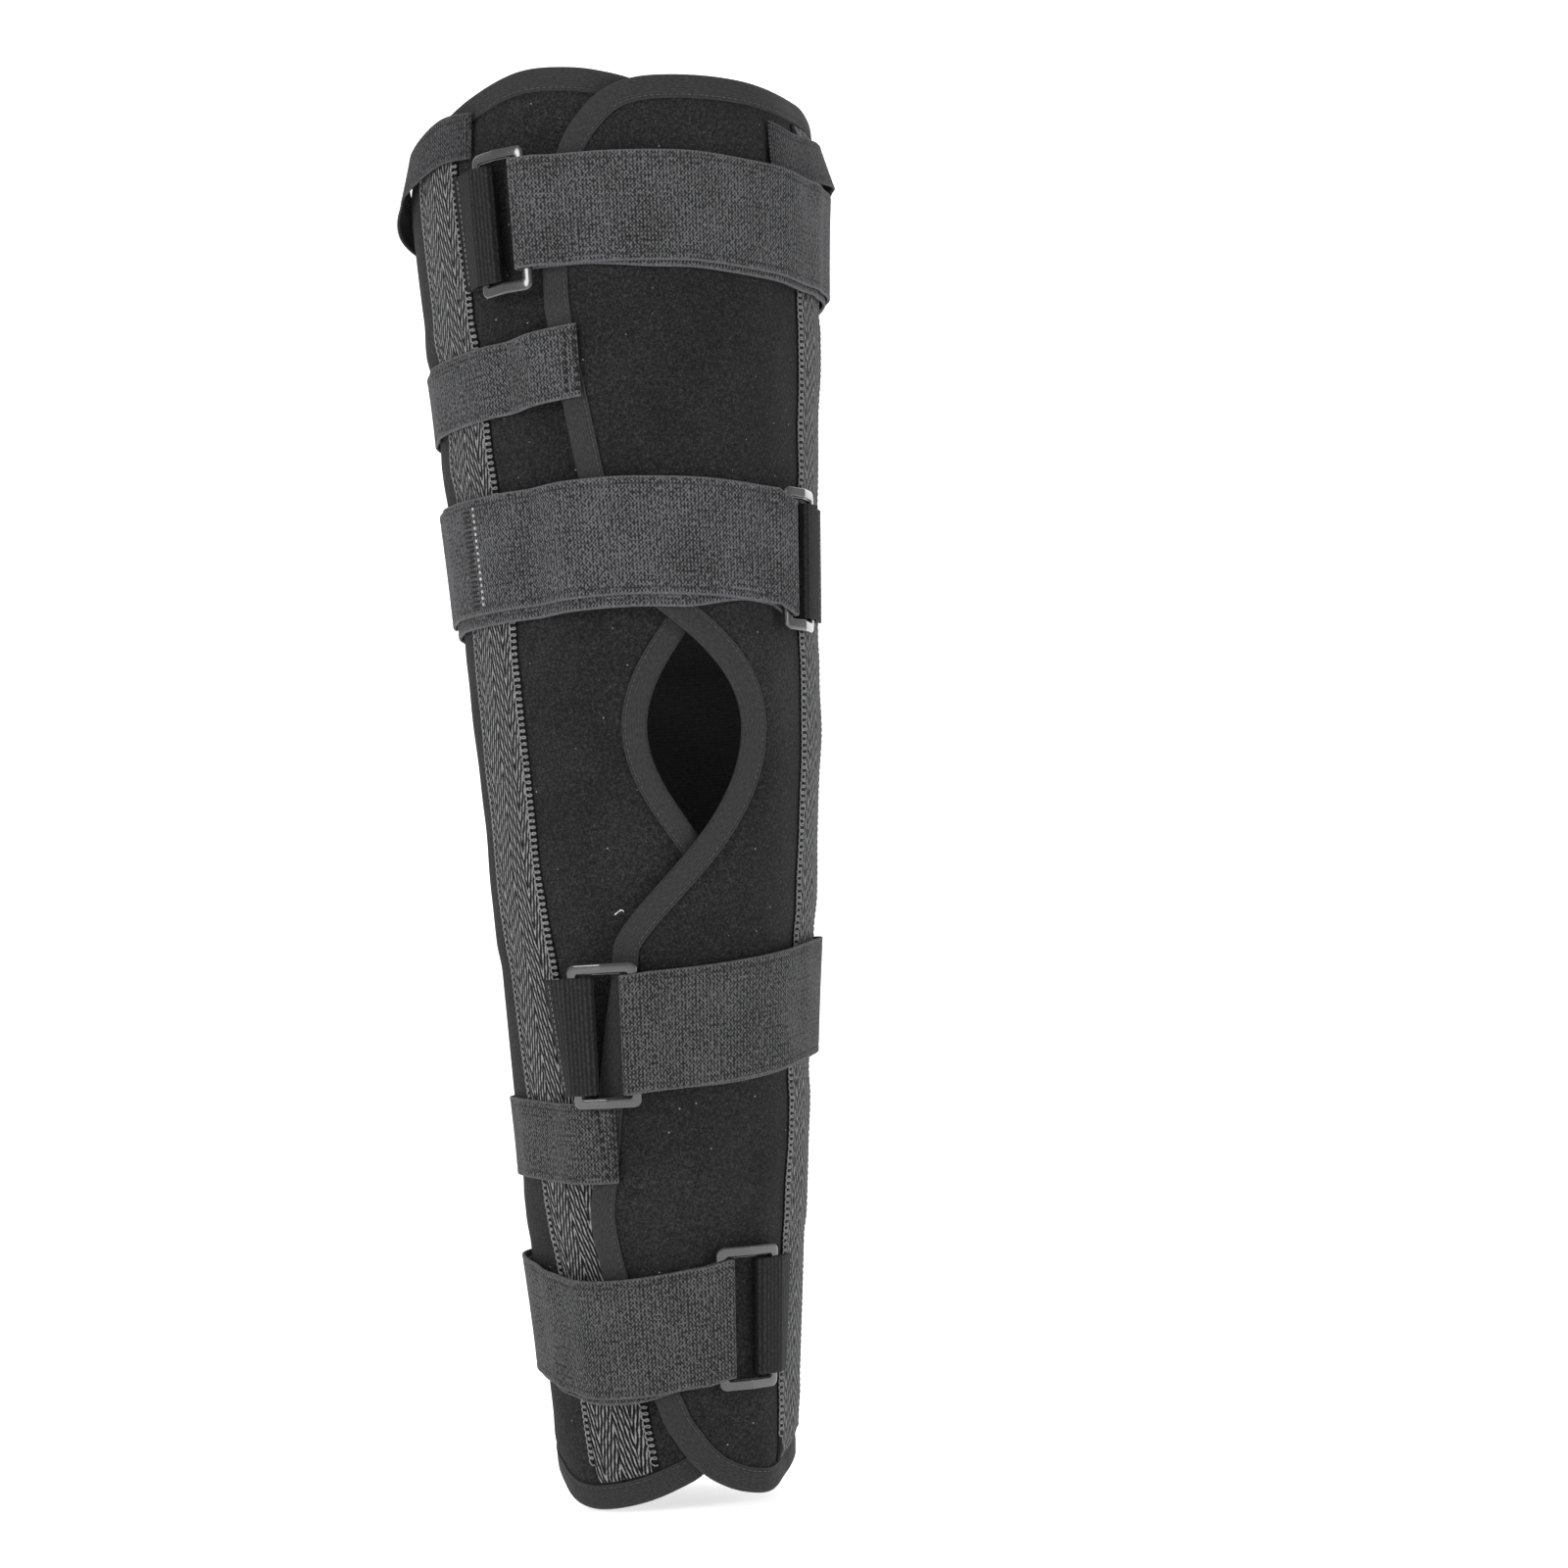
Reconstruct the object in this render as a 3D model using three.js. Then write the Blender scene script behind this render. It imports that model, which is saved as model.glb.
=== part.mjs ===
// Knee immobilizer: a three-panel padded wrap that closes down the front of a straight leg, with a
// window over the kneecap, two stay pockets, four strap-and-loop closures, two narrow closure tabs
// and one elastic band round the back of the thigh.
// Millimetres. Z runs up the leg, -Y is the front of the knee and +X is the viewer's right.
// The origin lies on the middle of the leg, level with the kneecap.
// An angle is measured round the leg in degrees: 0 at the front, 90 at +X, 180 at the back.

import * as THREE from 'three';

// The wrap
const ABOVE_KNEE = 278.5;
const BELOW_KNEE = 326.5;
const HOLLOW_WIDTH = 172;
const HOLLOW_DEPTH = 168;
const WALL = 4;
const CLEARANCE = 0.4;
const SEAM_GAP = 1;

// Edge binding: the folded tape with the pressed edge of the wall inside it
const BINDING_WIDTH = 10.5;
const BINDING_PROUD = 0.25;
const BINDING_BEVEL = 0.9;

// Kneecap window, cut as a scallop into each front edge
const RIGHT_SCALLOP = { depth: 58, above: 75, below: 90 };
const LEFT_SCALLOP = { depth: 27.5, above: 55, below: 57 };

// Stay pockets
const POCKET_WIDTH = 32;
const POCKET_THICKNESS = 1;
const POCKET_CROWN = 0.3;

// Straps, closure tabs, band and the webbing that holds the loops
const STRAP_WIDTH = 50;
const STRAP_THICKNESS = 1.5;
const TAB_THICKNESS = 1.3;
const UPPER_TAB_WIDTH = 30.5;
const LOWER_TAB_WIDTH = 34;
const BAND_WIDTH = 20;
const BAND_THICKNESS = 1.2;
const WEBBING_WIDTH = 49;
const WEBBING_THICKNESS = 1.2;
const WEBBING_SLACK = 1.8;

// Plastic loops
const LOOP_WIDTH = 26.5;
const LOOP_PLAY = 1;
const FOLD_PLAY = 0.5;
const LOOP_BAR = 4;
const LOOP_END = 4.7;
const LOOP_THICKNESS = 2.5;
const LOOP_CORNER = 3;
const SLOT_CORNER = 1;

// How steeply a taut strap leaves a step in what it lies on, rise over run
const STRAP_SLOPE = 0.5;
const ARC_STEP = 6.5;
const FOLD_STEPS = 6;
const SEAT_SAMPLES = 24;
const SEAT_PLATEAU = 0.8;
const SHIN_ROWS = 10;
const KNEE_ROWS = 12;
const THIGH_ROWS = 9;
const ROWS = SHIN_ROWS + KNEE_ROWS + THIGH_ROWS;
const BACK_ROWS = 13;
const POCKET_COLUMNS = 4;
const POCKET_ROWS = 24;

const DEGREE = Math.PI / 180;
const TURN = 360;

// The hollow's sections. at: height as a share of the length above or below the knee.
// width, depth: shares of the hollow's at the thigh, where it is widest.
// right, back: the centre's shift, as shares of half of that width and depth.
const SECTIONS = [
  { at: -1.0, width: 0.529, depth: 0.512, right: 0.0, back: 0.155 },
  { at: -0.92, width: 0.552, depth: 0.536, right: -0.003, back: 0.155 },
  { at: -0.735, width: 0.616, depth: 0.595, right: -0.009, back: 0.143 },
  { at: -0.49, width: 0.683, depth: 0.667, right: -0.003, back: 0.107 },
  { at: -0.245, width: 0.746, depth: 0.715, right: 0.014, back: 0.06 },
  { at: 0.0, width: 0.808, depth: 0.774, right: 0.02, back: 0.012 },
  { at: 0.287, width: 0.866, depth: 0.845, right: 0.008, back: 0.0 },
  { at: 0.575, width: 0.93, depth: 0.917, right: -0.003, back: 0.012 },
  { at: 0.826, width: 0.99, depth: 0.99, right: -0.007, back: 0.036 },
  { at: 0.93, width: 0.978, depth: 1.0, right: -0.006, back: 0.046 },
  { at: 1.0, width: 0.95, depth: 1.0, right: -0.006, back: 0.052 },
];

// The wrap's top edge and hem. angle runs once round from the right flap's corner to the left flap's,
// which lies under the right flap. at: height as a share of the length above or below the knee.
const TOP_EDGE = [
  { angle: -4, at: 0.934 },
  { angle: 0, at: 0.953 },
  { angle: 5, at: 0.966 },
  { angle: 12, at: 0.974 },
  { angle: 28, at: 0.977 },
  { angle: 50, at: 0.973 },
  { angle: 73, at: 0.975 },
  { angle: 84, at: 0.966 },
  { angle: 97, at: 0.953 },
  { angle: 130, at: 0.94 },
  { angle: 180, at: 0.934 },
  { angle: 275, at: 0.936 },
  { angle: 299, at: 0.944 },
  { angle: 318, at: 0.975 },
  { angle: 336, at: 1.0 },
  { angle: 352, at: 0.997 },
  { angle: 362, at: 0.986 },
  { angle: 370, at: 0.972 },
  { angle: 377, at: 0.95 },
  { angle: 381, at: 0.92 },
];
const HEM = [
  { angle: 7, at: -0.936 },
  { angle: 14, at: -0.957 },
  { angle: 21, at: -0.97 },
  { angle: 30, at: -0.981 },
  { angle: 45, at: -0.988 },
  { angle: 60, at: -0.982 },
  { angle: 90, at: -0.96 },
  { angle: 180, at: -0.947 },
  { angle: 260, at: -0.953 },
  { angle: 276, at: -0.966 },
  { angle: 290, at: -0.985 },
  { angle: 306, at: -0.998 },
  { angle: 322, at: -1.0 },
  { angle: 345, at: -0.99 },
  { angle: 364, at: -0.972 },
  { angle: 376, at: -0.955 },
  { angle: 382, at: -0.932 },
];

// The flaps' front edges without their scallops
const RIGHT_FRONT = [
  { at: -0.936, angle: 7 },
  { at: -0.893, angle: -1.9 },
  { at: -0.862, angle: -5.5 },
  { at: -0.77, angle: -18 },
  { at: -0.69, angle: -24 },
  { at: -0.622, angle: -26.3 },
  { at: -0.585, angle: -25.2 },
  { at: -0.38, angle: -16.5 },
  { at: -0.28, angle: -12.3 },
  { at: 0.0, angle: -12 },
  { at: 0.29, angle: -11 },
  { at: 0.427, angle: -13.7 },
  { at: 0.6, angle: -17.8 },
  { at: 0.735, angle: -17.5 },
  { at: 0.82, angle: -14.8 },
  { at: 0.894, angle: -9.6 },
  { at: 0.934, angle: -4 },
];
const LEFT_FRONT = [
  { at: -0.932, angle: 382 },
  { at: -0.8, angle: 384 },
  { at: 0.0, angle: 384 },
  { at: 0.8, angle: 383 },
  { at: 0.92, angle: 381 },
];

// The middle lines of the stay pockets
const LEFT_POCKET = [
  { at: -0.97, angle: -24 },
  { at: -0.862, angle: -27.8 },
  { at: -0.695, angle: -33.4 },
  { at: -0.594, angle: -38.3 },
  { at: -0.468, angle: -44.3 },
  { at: -0.3, angle: -49.6 },
  { at: -0.145, angle: -53.2 },
  { at: 0.17, angle: -52.4 },
  { at: 0.48, angle: -53.6 },
  { at: 0.87, angle: -55.3 },
];
const RIGHT_POCKET = [
  { at: -0.95, angle: 71 },
  { at: -0.6, angle: 73 },
  { at: -0.28, angle: 75.5 },
  { at: 0.0, angle: 77 },
  { at: 0.38, angle: 75.5 },
  { at: 0.87, angle: 72.5 },
];

// Where the right flap climbs onto the left one
const FLAP_CLIMB = { from: 68, to: 38 };

// Each strap starts at its anchor at the back, runs round the front, goes through its loop and folds
// back over itself to its end. side: 1 where it comes to its loop from the right, -1 from the left.
// line: its middle's rise above its height at the loop, as a share of its width, against the angle.
// drop: how far the under layer lies below the upper one away from the loop, as a share of the width.
// sag: how far the loop lies below the strap's middle, as a share of the width.
// hold: the stay pocket whose edge the loop's webbing is sewn under, or 'over' where it lies on the
// right one.
const STRAPS = [
  {
    name: 'thigh_strap', loop: 'thigh_loop', webbing: 'thigh_loop_tab',
    side: 1, width: 0.92 * STRAP_WIDTH, at: 0.774, angle: -27.5, anchor: 180, end: 118, hold: 'left',
    line: [[-28, 0], [20, 0], [33, -0.035], [45, -0.065], [56, -0.095], [67, -0.09], [90, -0.07], [130, -0.2], [180, -0.42]],
    drop: 0.05, sag: 0.04,
  },
  {
    name: 'above_knee_strap', loop: 'above_knee_loop', webbing: 'above_knee_loop_tab',
    side: -1, width: 0.98 * STRAP_WIDTH, at: 0.252, angle: 57, anchor: -180, end: -92, hold: 'over',
    line: [[-180, 0.1], [-90, 0.15], [-38, 0.17], [-4, 0.2], [10, 0.19], [25, 0.165], [41, 0.115], [54, 0.045], [58, 0]],
    drop: 0.1, sag: 0,
  },
  {
    name: 'below_knee_strap', loop: 'below_knee_loop', webbing: 'below_knee_loop_tab',
    side: 1, width: STRAP_WIDTH, at: -0.386, angle: -14.5, anchor: 180, end: 112, hold: 'left',
    line: [[-15, 0], [6, 0.03], [18, 0.05], [36, 0.1], [52, 0.16], [70, 0.22], [100, 0.26], [180, 0.24]],
    drop: 0.02, sag: 0,
  },
  {
    name: 'ankle_strap', loop: 'ankle_loop', webbing: 'ankle_loop_tab',
    side: -1, width: STRAP_WIDTH, at: -0.756, angle: 32.5, anchor: -180, end: -108, hold: 'right',
    line: [[-180, 0.05], [-90, 0.06], [-65, 0.01], [-52, -0.05], [-37, -0.11], [-21, -0.125], [-6, -0.105], [7, -0.07], [22, -0.03], [33, 0]],
    drop: 0.05, sag: 0,
  },
];

// Narrow tabs sewn to the right flap's binding, which close round the left side
const TABS = [
  {
    name: 'upper_closure_tab', width: UPPER_TAB_WIDTH, at: 0.552, start: -104, end: -9.5,
    line: [[-104, -0.18], [-80, -0.2], [-63, -0.18], [-45, -0.14], [-26, -0.08], [-10, 0]],
  },
  {
    name: 'lower_closure_tab', width: LOWER_TAB_WIDTH, at: -0.523, start: -112, end: -13.5,
    line: [[-112, 0.09], [-63, 0.08], [-38, 0.02], [-25, 0], [-13, 0]],
  },
];

// The elastic band round the back of the thigh: its middle's height as a share of the length above
// the knee, and how far its lower edge stands off, as a share of its width
const BAND = [
  { angle: 46, at: 0.882, flare: 0 },
  { angle: 56, at: 0.876, flare: 0 },
  { angle: 68, at: 0.88, flare: 0.12 },
  { angle: 80, at: 0.888, flare: 0.22 },
  { angle: 92, at: 0.893, flare: 0.25 },
  { angle: 110, at: 0.882, flare: 0.15 },
  { angle: 140, at: 0.855, flare: 0 },
  { angle: 180, at: 0.836, flare: 0 },
  { angle: 220, at: 0.833, flare: 0 },
  { angle: 255, at: 0.838, flare: 0.1 },
  { angle: 268, at: 0.851, flare: 0.22 },
  { angle: 278, at: 0.866, flare: 0.25 },
  { angle: 288, at: 0.885, flare: 0.2 },
  { angle: 298, at: 0.902, flare: 0.1 },
  { angle: 310, at: 0.917, flare: 0 },
  { angle: 321.6, at: 0.914, flare: 0 },
];

const clamp = (x, low, high) => Math.min(high, Math.max(low, x));
const mix = (a, b, t) => a + (b - a) * t;

function ease(from, to, x) {
  const t = clamp((x - from) / (to - from), 0, 1);
  return t * t * (3 - 2 * t);
}

// Even places from one value to another
function places(from, to, count) {
  return Array.from({ length: count + 1 }, (_, i) => mix(from, to, i / count));
}

const heightAt = (share) => share * (share > 0 ? ABOVE_KNEE : BELOW_KNEE);

// A smooth line through points [x, y] in order of x. Each slope follows the neighbouring points.
function lineThrough(points) {
  const last = points.length - 1;
  const slopes = points.map((_, i) => {
    const before = points[Math.max(0, i - 1)];
    const after = points[Math.min(last, i + 1)];
    return (after[1] - before[1]) / (after[0] - before[0]);
  });
  return (x) => {
    let i = 0;
    while (i < last - 1 && x > points[i + 1][0]) i += 1;
    const [x0, y0] = points[i];
    const [x1, y1] = points[i + 1];
    const span = x1 - x0;
    const t = clamp((x - x0) / span, 0, 1);
    const bend = (1 - t) * (1 - t) * t * slopes[i] - (1 - t) * t * t * slopes[i + 1];
    return mix(y0, y1, t * t * (3 - 2 * t)) + bend * span;
  };
}

const byHeight = (rows, value) => lineThrough(rows.map((row) => [heightAt(row.at), value(row)]));
const byAngle = (rows, value) => lineThrough(rows.map((row) => [row.angle, value(row)]));

const halfWidth = byHeight(SECTIONS, (row) => row.width * HOLLOW_WIDTH / 2);
const halfDepth = byHeight(SECTIONS, (row) => row.depth * HOLLOW_DEPTH / 2);
const shiftRight = byHeight(SECTIONS, (row) => row.right * HOLLOW_WIDTH / 2);
const shiftBack = byHeight(SECTIONS, (row) => row.back * HOLLOW_DEPTH / 2);

// The point at an angle and height that stands out from the hollow's face by a distance
function legPoint(angle, z, out) {
  const a = halfWidth(z);
  const b = halfDepth(z);
  const sin = Math.sin(angle * DEGREE);
  const cos = Math.cos(angle * DEGREE);
  const length = Math.hypot(sin / a, cos / b);
  return new THREE.Vector3(
    shiftRight(z) + a * sin + out * sin / a / length,
    shiftBack(z) - b * cos - out * cos / b / length,
    z,
  );
}

// Millimetres round the leg for each degree
function girthRate(angle, z, out = WALL) {
  const across = halfWidth(z) * Math.cos(angle * DEGREE);
  const along = halfDepth(z) * Math.sin(angle * DEGREE);
  return (Math.hypot(across, along) + out) * DEGREE;
}

const topEdge = byAngle(TOP_EDGE, (row) => heightAt(row.at));
const hem = byAngle(HEM, (row) => heightAt(row.at));
const leftPocket = byHeight(LEFT_POCKET, (row) => row.angle);
const rightPocket = byHeight(RIGHT_POCKET, (row) => row.angle);
const rightFrontLine = byHeight(RIGHT_FRONT, (row) => row.angle);
const leftFrontLine = byHeight(LEFT_FRONT, (row) => row.angle);

// A scallop's depth in degrees at a height: deepest level with the kneecap, fading out above and below
function scallop({ depth, above, below }, z) {
  const share = clamp(z / (z > 0 ? above : below), -1, 1);
  return depth * (1 - share * share) ** 1.5 / girthRate(0, 0);
}

const rightFront = (z) => rightFrontLine(z) + scallop(RIGHT_SCALLOP, z);
const leftFront = (z) => leftFrontLine(z) - scallop(LEFT_SCALLOP, z);

// How far the wall's inner face stands off the hollow: the right flap climbs onto the left flap and
// clears the stay pocket that it covers at the shin
const POCKET_TOP = CLEARANCE + POCKET_THICKNESS + POCKET_CROWN;
const FLAP_LIFT = WALL + POCKET_TOP + CLEARANCE + BINDING_PROUD;
const lift = (angle) => FLAP_LIFT * ease(FLAP_CLIMB.from, FLAP_CLIMB.to, angle);

const bandHeight = byAngle(BAND, (row) => heightAt(row.at));
const bandFlare = byAngle(BAND, (row) => row.flare * BAND_WIDTH);

function tabLine(tab) {
  return lineThrough(tab.line.map(([angle, rise]) => [angle, heightAt(tab.at) + rise * tab.width]));
}

// What a strip is seated on besides the wrap itself
const ON_POCKETS = { pockets: true, tabs: false };
const ON_ALL = { pockets: true, tabs: true };
const ON_TABS = { pockets: false, tabs: true };

// The outer height of what is already on the wrap at an angle from -180 to 180
function surface(angle, z, on) {
  const pockets = [leftPocket(z), rightPocket(z)];
  const reach = (POCKET_WIDTH / 2 + 1) / girthRate(angle, z);
  const onPocket = on.pockets && pockets.some((middle) => Math.abs(angle - middle) < reach);
  const onFlap = angle > rightFront(z) - 1;
  const raised = WALL + (onFlap ? lift(angle) : 0);
  let top = raised + (onPocket ? POCKET_TOP : 0);
  if (onFlap && angle < rightPocket(z)) top = Math.max(top, raised + BINDING_PROUD);
  if (z < hem(angle < 0 ? angle + TURN : angle) + 2 * BINDING_WIDTH) top = Math.max(top, WALL + BINDING_PROUD);
  if (!on.tabs) return top;
  for (const tab of TABS) {
    const inside = angle > tab.start - 1 && angle < tab.end + 1;
    if (inside && Math.abs(z - tabLine(tab)(angle)) < tab.width / 2 + 1) {
      top = Math.max(top, seat(angle, tabLine(tab)(angle), tab.width, ON_POCKETS) + CLEARANCE + TAB_THICKNESS);
    }
  }
  const onBand = angle > BAND[0].angle - 1 && Math.abs(z - bandHeight(angle)) < BAND_WIDTH / 2 + 1;
  return onBand && angle < 66 ? top + CLEARANCE + BAND_THICKNESS : top;
}

// How far the wrap's face swells out between a level strip's two edges
function swell(z, width) {
  const rise = (half) => half(z) - (half(z - width / 2) + half(z + width / 2)) / 2;
  return Math.max(0, rise(halfWidth), rise(halfDepth));
}

// The height that a taut strip of a given width lies at: the highest thing within a step of it, with
// an even slope down from that
function seat(angle, z, width, on = ON_ALL) {
  const reach = 3 * ARC_STEP;
  let height = 0;
  for (const away of places(-reach, reach, SEAT_SAMPLES)) {
    const there = angle + away;
    const wrapped = there - TURN * Math.round(there / TURN);
    const run = Math.max(0, Math.abs(away) - SEAT_PLATEAU * ARC_STEP) * girthRate(wrapped, z);
    for (const share of [-0.5, -0.25, 0, 0.25, 0.5]) {
      height = Math.max(height, surface(wrapped, z + share * width, on) - STRAP_SLOPE * run);
    }
  }
  return height + swell(z, width);
}

// A closed mesh from points and faces, turned so that its faces point out
function solid(points, triangles) {
  let volume = 0;
  for (const [a, b, c] of triangles) {
    volume += points[a].dot(points[b].clone().cross(points[c]));
  }
  const faces = volume < 0 ? triangles.map(([a, b, c]) => [a, c, b]) : triangles;
  const geometry = new THREE.BufferGeometry();
  geometry.setAttribute('position', new THREE.Float32BufferAttribute(points.flatMap((p) => p.toArray()), 3));
  geometry.setIndex(faces.flat());
  geometry.computeVertexNormals();
  return geometry;
}

// A slab between two grids of points that match, with a rim all round
function slab(outer, inner) {
  const rows = outer.length;
  const columns = outer[0].length;
  const points = [...outer.flat(), ...inner.flat()];
  const top = (i, j) => i * columns + j;
  const under = (i, j) => rows * columns + top(i, j);
  const triangles = [];
  const quad = (a, b, c, d) => triangles.push([a, b, c], [a, c, d]);
  for (let i = 0; i < rows - 1; i += 1) {
    for (let j = 0; j < columns - 1; j += 1) {
      quad(top(i, j), top(i, j + 1), top(i + 1, j + 1), top(i + 1, j));
      quad(under(i, j), under(i + 1, j), under(i + 1, j + 1), under(i, j + 1));
    }
    quad(top(i, 0), top(i + 1, 0), under(i + 1, 0), under(i, 0));
    quad(top(i + 1, columns - 1), top(i, columns - 1), under(i, columns - 1), under(i + 1, columns - 1));
  }
  for (let j = 0; j < columns - 1; j += 1) {
    quad(top(0, j + 1), top(0, j), under(0, j), under(0, j + 1));
    quad(top(rows - 1, j), top(rows - 1, j + 1), under(rows - 1, j + 1), under(rows - 1, j));
  }
  return solid(points, triangles);
}

// A closed ring of like sections
function ring(sections) {
  const count = sections[0].length;
  const triangles = [];
  sections.forEach((_, i) => {
    const next = (i + 1) % sections.length;
    for (let j = 0; j < count; j += 1) {
      const k = (j + 1) % count;
      triangles.push([i * count + j, next * count + j, next * count + k]);
      triangles.push([i * count + j, next * count + k, i * count + k]);
    }
  });
  return solid(sections.flat(), triangles);
}

// The wrap's outline as [angle, z] stations, in four runs that meet at the flaps' corners
const RIGHT_COLUMNS = 13;
const BACK_COLUMNS = 28;
const LEFT_COLUMNS = 12;
const seamAngle = { right: (z) => rightPocket(z), left: (z) => leftPocket(z) + TURN };

// Where a seam meets the top edge or the hem
function seamEnd(seam, edge) {
  let z = edge === topEdge ? ABOVE_KNEE : -BELOW_KNEE;
  for (let turn = 0; turn < 8; turn += 1) z = edge(seam(z));
  return [seam(z), z];
}

function edgeRun(edge, rows) {
  const first = rows[0].angle;
  const last = rows[rows.length - 1].angle;
  const right = seamEnd(seamAngle.right, edge)[0];
  const left = seamEnd(seamAngle.left, edge)[0];
  return [
    places(first, right, RIGHT_COLUMNS),
    places(right, left, BACK_COLUMNS),
    places(left, last, LEFT_COLUMNS),
  ].map((angles) => angles.map((angle) => [angle, edge(angle)]));
}

const topRuns = edgeRun(topEdge, TOP_EDGE);
const hemRuns = edgeRun(hem, HEM);
// Heights up a front edge, closer together beside the window
function frontHeights(rows) {
  const low = heightAt(rows[0].at);
  const high = heightAt(rows[rows.length - 1].at);
  return [
    ...places(low, -RIGHT_SCALLOP.below, SHIN_ROWS).slice(0, -1),
    ...places(-RIGHT_SCALLOP.below, RIGHT_SCALLOP.above, KNEE_ROWS).slice(0, -1),
    ...places(RIGHT_SCALLOP.above, high, THIGH_ROWS),
  ];
}

const rightRun = frontHeights(RIGHT_FRONT).map((z) => [rightFront(z), z]);
const leftRun = frontHeights(LEFT_FRONT).map((z) => [leftFront(z), z]);

const outline = [
  ...rightRun.slice(0, -1),
  ...topRuns[0].slice(0, -1), ...topRuns[1].slice(0, -1), ...topRuns[2].slice(0, -1),
  ...leftRun.slice(1).reverse(),
  ...hemRuns[2].slice(1).reverse(), ...hemRuns[1].slice(1).reverse(), ...hemRuns[0].slice(1).reverse(),
];

// An outline station moved into the wrap by a distance, square to its neighbours
function moveIn(index, distance) {
  const count = outline.length;
  const [angle, z] = outline[index];
  const before = outline[(index + count - 1) % count];
  const after = outline[(index + 1) % count];
  const rate = girthRate(angle, z);
  const run = (after[0] - before[0]) * rate;
  const rise = after[1] - before[1];
  const length = Math.hypot(run, rise);
  return [angle + rise / length * distance / rate, z - run / length * distance];
}

const PANEL_INSET = BINDING_WIDTH + CLEARANCE;
const inset = outline.map((_, i) => moveIn(i, PANEL_INSET));
const topStart = ROWS;
const leftStart = topStart + RIGHT_COLUMNS + BACK_COLUMNS + LEFT_COLUMNS;
const hemStart = leftStart + ROWS;
const stations = (start, count) => Array.from({ length: count + 1 }, (_, i) => inset[(start + i) % inset.length]);

const insetEdges = {
  rightFront: stations(0, ROWS),
  rightTop: stations(topStart, RIGHT_COLUMNS),
  backTop: stations(topStart + RIGHT_COLUMNS, BACK_COLUMNS),
  leftTop: stations(topStart + RIGHT_COLUMNS + BACK_COLUMNS, LEFT_COLUMNS),
  leftFront: stations(leftStart, ROWS).reverse(),
  leftHem: stations(hemStart, LEFT_COLUMNS).reverse(),
  backHem: stations(hemStart + LEFT_COLUMNS, BACK_COLUMNS).reverse(),
  rightHem: stations(hemStart + LEFT_COLUMNS + BACK_COLUMNS, RIGHT_COLUMNS).reverse(),
};

// A seam from the hem to the top edge, set aside from the pocket's middle by half the seam gap
function seamRun(seam, from, to, rows, side) {
  return places(from[1], to[1], rows).map((z, i) => {
    const onLine = seam(z);
    const ends = mix(from[0] - seam(from[1]), to[0] - seam(to[1]), i / rows);
    return [onLine + ends + side * SEAM_GAP / 2 / girthRate(onLine, z), z];
  });
}

// A grid of [angle, z] between four edges that meet at their ends
function patch(bottom, top, start, end) {
  return start.map((from, i) => {
    const t = i / (start.length - 1);
    return bottom.map((low, j) => {
      const s = j / (bottom.length - 1);
      return [0, 1].map((k) => {
        const across = mix(from[k], end[i][k], s);
        const up = mix(low[k], top[j][k], t);
        const corners = mix(mix(bottom[0][k], bottom[bottom.length - 1][k], s),
          mix(top[0][k], top[top.length - 1][k], s), t);
        return across + up - corners;
      });
    });
  });
}

function panel(grid) {
  const layer = (out) => grid.map((row) => row.map(([angle, z]) => legPoint(angle, z, lift(angle) + out)));
  return slab(layer(WALL), layer(0));
}

const pick = (run, index) => run[(index + run.length) % run.length];

function shifted(run, index, point) {
  const copy = run.slice();
  copy[(index + run.length) % run.length] = point;
  return copy;
}

// One panel between its two sides. A side that is a seam is worked out from the edges' ends.
function wrapPanel({ bottom, top, start, end, seamStart, seamEndLine, rows }) {
  const first = start ?? seamRun(seamStart, pick(bottom, 0), pick(top, 0), rows, 1);
  const final = end ?? seamRun(seamEndLine, pick(bottom, -1), pick(top, -1), rows, -1);
  const low = shifted(shifted(bottom, 0, first[0]), -1, final[0]);
  const high = shifted(shifted(top, 0, pick(first, -1)), -1, pick(final, -1));
  return panel(patch(low, high, first, final));
}

function edgeBinding() {
  const low = -BINDING_PROUD;
  const high = WALL + BINDING_PROUD;
  const profile = [
    [BINDING_WIDTH, low], [BINDING_BEVEL, low], [0, low + BINDING_BEVEL],
    [0, high - BINDING_BEVEL], [BINDING_BEVEL, high], [BINDING_WIDTH, high],
  ];
  return ring(outline.map((_, i) => profile.map(([inward, out]) => {
    const [angle, z] = moveIn(i, inward);
    return legPoint(angle, z, lift(angle) + out);
  })));
}

// A stay pocket: a woven tape that lies over a seam from one binding to the other, cut to their lines
function stayPocket(middle, turn) {
  const margin = PANEL_INSET + 2 * CLEARANCE;
  const columns = places(-0.5, 0.5, POCKET_COLUMNS).map((share) => {
    const angleAt = (z) => middle(z) + share * POCKET_WIDTH / girthRate(middle(z), z);
    const end = (edge, side) => seamEnd((z) => angleAt(z) + turn, edge)[1] + side * margin;
    return places(end(hem, 1), end(topEdge, -1), POCKET_ROWS).map((z) => ({
      angle: angleAt(z), z, crown: POCKET_CROWN * (1 - 4 * share * share),
    }));
  });
  const layer = (out, crowned) => columns.map((column) => column.map(({ angle, z, crown }) => (
    legPoint(angle, z, lift(angle + turn) + WALL + CLEARANCE + out + (crowned ? crown : 0))
  )));
  return slab(layer(POCKET_THICKNESS, true), layer(0, false));
}

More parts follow.
